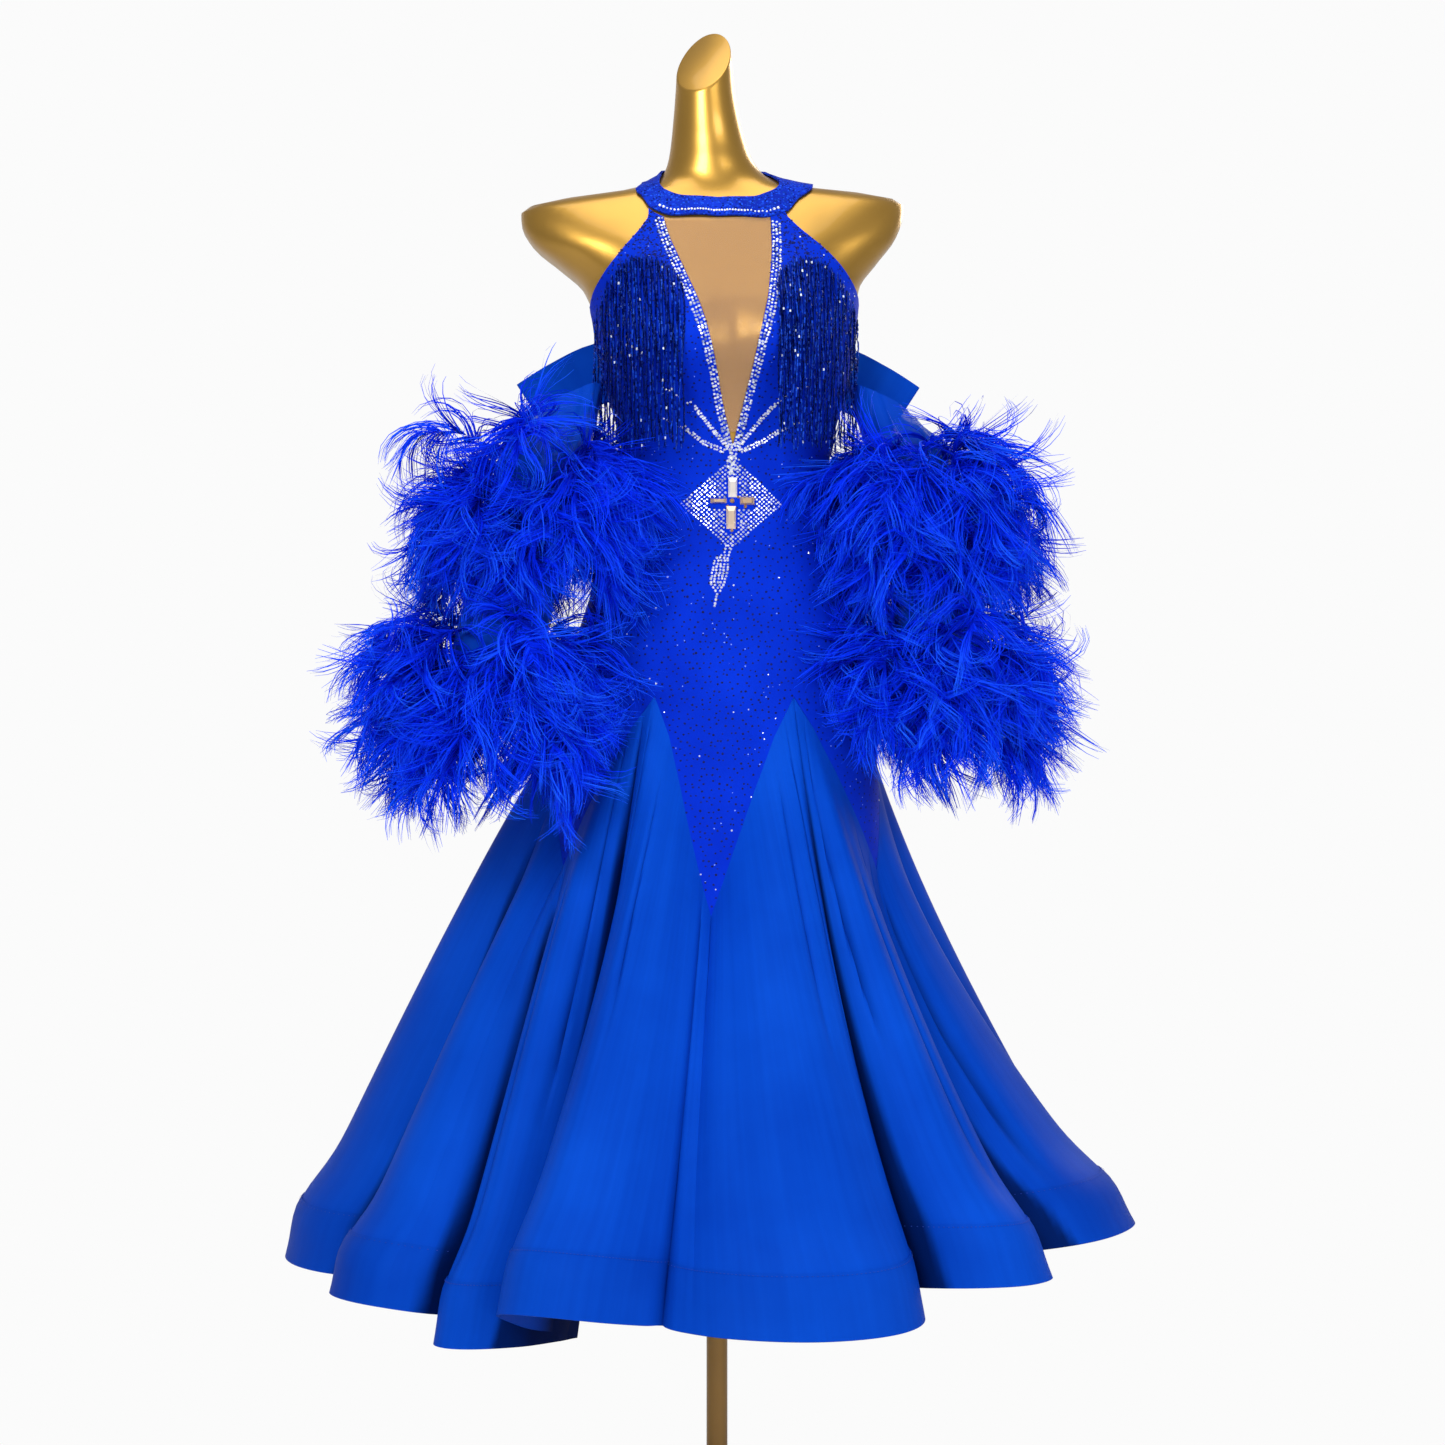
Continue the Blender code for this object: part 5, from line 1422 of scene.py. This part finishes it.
def build_plunge_stones(skin, neck, draw):
    """Three rows of stones along each side of the plunge."""
    edge = Stones()
    for side in (1, -1):
        top = smooth_rows(neck, side * 0.0560)[1] - NECK_GAP
        levels = [(z, halter_x(z, True)) for z in np.linspace(1.1515, top, 14)]
        for row, offset in enumerate(PLUNGE_ROWS):
            points = []
            for z, x in levels:
                wide = x + offset * mix(0.72, 1.0, ease(1.17, 1.30, z)) + 0.0003 * math.sin(z * 900)
                points.append((side * wide, z - 0.0013 * row))
            lay_line(edge, skin, points, PLUNGE_PITCH, PLUNGE_STONE, draw, (0.0, 1.0))
    return edge.done("plunge_stones", "crystal", LOOKS["crystal"], ["plunge_trim"])


def build_collar_stones(form, cloth, draw):
    row, band = Stones(), tree_of(cloth)
    for k in range(COLLAR_STONES):
        turn = mix(-46, 46, (k + 0.5) / COLLAR_STONES)
        ends = 1.35 if min(k, COLLAR_STONES - 1 - k) < 2 else 1.0
        spot = collar_point(form, turn, 0.19 + draw.uniform(-0.02, 0.02), COLLAR_CLOTH)
        near, normal = band.find_nearest(spot)[:2]
        if normal.y > 0:
            normal = -normal
        row.add(near, normal, draw.uniform(0.00110, 0.00140) * ends, draw.uniform(0.4, 1.0))
    return row.done("collar_stones", "crystal", LOOKS["crystal"], ["collar_trim"])


def build_ray_stones(skin, draw):
    """Rays of stones that thin out towards their ends, each with a second thinner row over it."""
    rays = Stones()
    for ray in RAYS:
        for shift, gone in ((0.0, 0.5), (0.0032, 1.0)):
            line = [(x, z + shift) for x, z in ray]
            lay_line(rays, skin, line, RAY_PITCH, RAY_STONE, draw, gone=gone)
    return rays.done("ray_stones", "crystal", LOOKS["crystal"], ["ray_left", "ray_right", "rays_lower"])


def build_trims(skin, form, collar, neck):
    draw = random.Random(5)
    edge = build_plunge_stones(skin, neck, draw)
    row = build_collar_stones(form, collar, draw)
    rays = build_ray_stones(skin, draw)
    return [edge, rays], row


def under_long_stone(x, up):
    """Whether a long stone of the lozenge covers this place."""
    if abs(x) < 0.0066 and 0.003 < up < 0.026 or abs(x) < 0.0070 and -0.030 < up < -0.003:
        return True
    return abs(up) < 0.0052 and abs(x) < 0.0235


def build_lozenge(skin, draw):
    """A lozenge of small stones round four long ones, hung from the plunge by a thin neck of stones."""
    small, long = Stones(), Stones()
    middle, pitch = LOZENGE_CENTRE_Z + 0.002, 0.0046
    for i in range(-22, 23):
        for j in range(-22, 23):
            x, up = (i + j) * pitch * 0.56, (i - j) * pitch * 0.50
            if abs(x) / LOZENGE_HALF_WIDTH + abs(up) / LOZENGE_HALF_HEIGHT > 1.0 or under_long_stone(x, up):
                continue
            x, up = x + draw.uniform(-0.0005, 0.0005), up + draw.uniform(-0.0005, 0.0005)
            found = front_spot(skin, x, LOZENGE_CENTRE_Z + up)
            radius, tone = draw.uniform(0.00110, 0.00155), draw.uniform(0.10, 1.0)
            small.add(*found, radius, tone, 8, draw.uniform(0.8, 1.0))
    for x, up, half_x, half_up, tone in LONG_STONES:
        spot = front_spot(skin, x, middle + up)[0] + Vector((0, -0.0008, 0))
        long.add(spot, Vector((0, -1, 0)), half_x * 1.35, tone, 4, half_up / half_x, 0.0, 0.4)
    for x, up, radius, tone in DARK_STONES:
        long.add(*front_spot(skin, x, middle + up), radius, tone)
    for k in range(60):
        share = draw.random()
        x, z = draw.uniform(-1, 1) * mix(0.0085, 0.0050, share), mix(1.1560, 1.1200, share)
        if k < 12:
            x, z = 0.0010 * (-1) ** k, mix(1.1530, 1.1190, k / 11)
        found = front_spot(skin, x, z)
        if found:
            small.add(*found, draw.uniform(0.0011, 0.0016), draw.uniform(0.3, 1.0))
    small = small.done("lozenge_stones", "crystal", LOOKS["crystal"], ["waist_lozenge"])
    return small, long.done("lozenge_long_stones", "crystal", LOOKS["champagne"])


def build_ornament(skin):
    draw = random.Random(8)
    small, long = build_lozenge(skin, draw)
    tail, level = Stones(), 1.0480
    while level > 0.9845:
        centre, half = smooth_rows(TAIL, level)[1:]
        count = max(1, round(2 * half / 0.0033))
        for k in range(count):
            across = 0 if count == 1 else mix(-0.85, 0.85, k / (count - 1))
            x = centre + half * across + draw.uniform(-0.0004, 0.0004)
            found = front_spot(skin, x, level + draw.uniform(-0.0006, 0.0006))
            tail.add(*found, draw.uniform(0.0012, 0.0016), draw.uniform(0.3, 1.0))
        level -= TAIL_STEP
    tail = tail.done("tail_stones", "crystal", LOOKS["crystal"], ["waist_tail"])
    return [small, long, tail]


# Bow


def bow_line(share):
    return smooth_rows(BOW_LINE, share)[1:]


def build_bow():
    """Two flat loops with pleats at the knot, and the knot that holds them."""
    made = []
    for name, side in (("bow_loop_right", 1), ("bow_loop_left", -1)):

        def place(u, w, side=side):
            turn = u * math.tau
            share = 0.5 - 0.5 * math.cos(turn)
            x, y, z = bow_line(share)
            ahead, behind = bow_line(min(1.0, share + 0.02)), bow_line(max(0.0, share - 0.02))
            run = Vector((ahead[0] - behind[0], 0, ahead[2] - behind[2])).normalized()
            over = Vector((-run.z, 0, run.x))
            fan = mix(0.42, 1.0, ease(0.0, 0.6, share)) * BOW_WIDTH
            puff = 0.0115 * math.sin(turn) * (0.65 + 0.35 * math.cos(math.pi * (w - 0.5)))
            pleat = 0.0016 * math.sin(w * 16) * (1 - ease(0.1, 0.8, share))
            centre = Vector((x, y, z)) + over * (w - 0.5) * fan + Vector((0, puff + pleat, 0))
            return Vector((BOW_CENTRE_X + side * centre.x, centre.y, centre.z))

        bm = laid_grid(64, 16, place, (0.40, 0.07))

        def out(spot, side=side):
            share = min(1.0, max(0.0, (side * (spot.x - BOW_CENTRE_X) - 0.0215) / 0.18))
            return Vector((0, spot.y - bow_line(share)[1], 0))

        thickened(bm, 0.0010, out)
        made.append(finished(name + "_cloth", bm, LOOKS["satin"], [name]))

    def knot_place(u, w):
        a = u * math.tau
        half = (0.0166, 0.0110)
        r = (abs(math.cos(a)) ** 3 + abs(math.sin(a)) ** 3) ** (-1 / 3)
        pinch = 1 - 0.16 * math.sin(math.pi * w) + 0.03 * math.sin(a * 9)
        knot_y = figure(180, BOW_KNOT_Z).y + CLOTH_CLEARANCE + CLOTH + 0.0116
        return Vector(
            (
                BOW_CENTRE_X + half[0] * r * math.cos(a) * pinch,
                knot_y + half[1] * r * math.sin(a) * pinch,
                BOW_KNOT_Z - 0.012 + (w - 0.5) * 0.040,
            )
        )

    bm = laid_grid(64, 16, knot_place, (0.09, 0.04))
    bmesh.ops.holes_fill(bm, edges=[e for e in bm.edges if e.is_boundary])
    bmesh.ops.recalc_face_normals(bm, faces=bm.faces[:])
    knot = finished("bow_knot_cloth", bm, LOOKS["satin"], ["bow_knot"])
    return made, knot


# Stage


def build_backdrop():
    """A pale seamless floor that bends up into a back wall. The camera sees it evenly lit."""
    bm = laid_grid(8, 60, lambda u, w: Vector(((u - 0.5) * 16, mix(-6.0, 8.0, w), 0.0)))
    for v in bm.verts:
        beyond = v.co.y - BACKDROP_BEND_Y
        if beyond > 0:
            turn = min(math.pi / 2, beyond / BACKDROP_RADIUS)
            wall = max(0.0, beyond - BACKDROP_RADIUS * math.pi / 2)
            v.co.y = BACKDROP_BEND_Y + BACKDROP_RADIUS * math.sin(turn)
            v.co.z = BACKDROP_RADIUS * (1 - math.cos(turn)) + wall
    bmesh.ops.recalc_face_normals(bm, faces=bm.faces[:])
    mesh = bpy.data.meshes.new("backdrop")
    bm.to_mesh(mesh)
    bm.free()
    backdrop = bpy.data.objects.new("backdrop", mesh)
    bpy.context.scene.collection.objects.link(backdrop)
    look, shader = fresh_material("backdrop_look", Base_Color=(0.80, 0.80, 0.80, 1.0), Roughness=0.9)
    nodes, link = look.node_tree.nodes, look.node_tree.links.new
    seen = nodes.new("ShaderNodeLightPath")
    glow = nodes.new("ShaderNodeEmission")
    both = nodes.new("ShaderNodeMixShader")
    glow.inputs["Color"].default_value = (0.965, 0.965, 0.965, 1.0)
    link(seen.outputs["Is Camera Ray"], both.inputs["Fac"])
    link(shader.outputs["BSDF"], both.inputs[1])
    link(glow.outputs["Emission"], both.inputs[2])
    link(both.outputs["Shader"], nodes["Material Output"].inputs["Surface"])
    mesh.materials.append(look)
    mesh.shade_smooth()


def build_lights():
    world = bpy.data.worlds.new("studio")
    world.use_nodes = True
    sky = world.node_tree.nodes["Background"].inputs
    sky["Color"].default_value = (1.0, 1.0, 1.0, 1.0)
    sky["Strength"].default_value = 0.30
    bpy.context.scene.world = world
    target = Vector((0, 0, 0.95))
    for name, place, size, power in LIGHTS:
        light = bpy.data.lights.new(name, "AREA")
        light.size = size
        light.energy = power
        lamp = bpy.data.objects.new(name, light)
        lamp.location = place
        lamp.rotation_euler = (target - Vector(place)).to_track_quat("-Z", "Y").to_euler()
        bpy.context.scene.collection.objects.link(lamp)


def build_stage():
    """Floor and backdrop, soft lights and the camera at the photograph's viewing angle."""
    build_backdrop()
    build_lights()
    camera = bpy.data.cameras.new("camera")
    camera.sensor_width = 36
    camera.lens = 36 * LENS_PIXELS / PHOTO_SIZE
    camera.shift_x = (PHOTO_SIZE / 2 - VIEW_MIDDLE) / PHOTO_SIZE
    eye = bpy.data.objects.new("camera", camera)
    bpy.context.scene.collection.objects.link(eye)
    back = Vector((math.sin(CAMERA_TURN), -math.cos(CAMERA_TURN), 0.0))
    eye.location = Vector((0, 0, CAMERA_HEIGHT)) + back * CAMERA_AWAY
    eye.rotation_euler = (-back).to_track_quat("-Z", "Y").to_euler()
    bpy.context.scene.camera = eye
    bpy.context.scene.view_settings.view_transform = "Standard"


def cloth_area(piece):
    """The area of one face of a cloth wall, which is what its cut covers lying flat."""
    return sum(p.area for p in piece.data.polygons) / 2


def declare_cloth(piece, with_pieces=()):
    cloth_area(piece)
    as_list(with_pieces)


def main():
    build_stage()
    build_stand()
    form_body = build_form()
    form = tree_of(form_body)
    collar = build_collar(form)
    neck = neck_line(form)
    front, back = build_bodice(neck)
    insert = build_insert(neck)
    front_stones, back_stones = scatter_bodice_stones(front, back)
    skirts = build_skirt()
    sleeves = build_sleeves()
    plumes = [build_feathers(*tier) for tier in TIERS]
    skin = tree_of(front)
    fringes = build_fringe(skin)
    trims, collar_stones = build_trims(skin, form, collar, neck)
    ornament = build_ornament(skin)
    loops, knot = build_bow()
    on_front = front_stones + fringes + trims + ornament
    declare_cloth(front, on_front)
    declare_cloth(back, back_stones)
    declare_cloth(collar, [collar_stones])
    declare_cloth(insert)
    for panel, sewn_on in skirts:
        declare_cloth(panel, sewn_on)
    for k, sleeve in enumerate(sleeves):
        declare_cloth(sleeve, plumes[2 * k : 2 * k + 2])
    for loop in loops:
        declare_cloth(loop)


main()
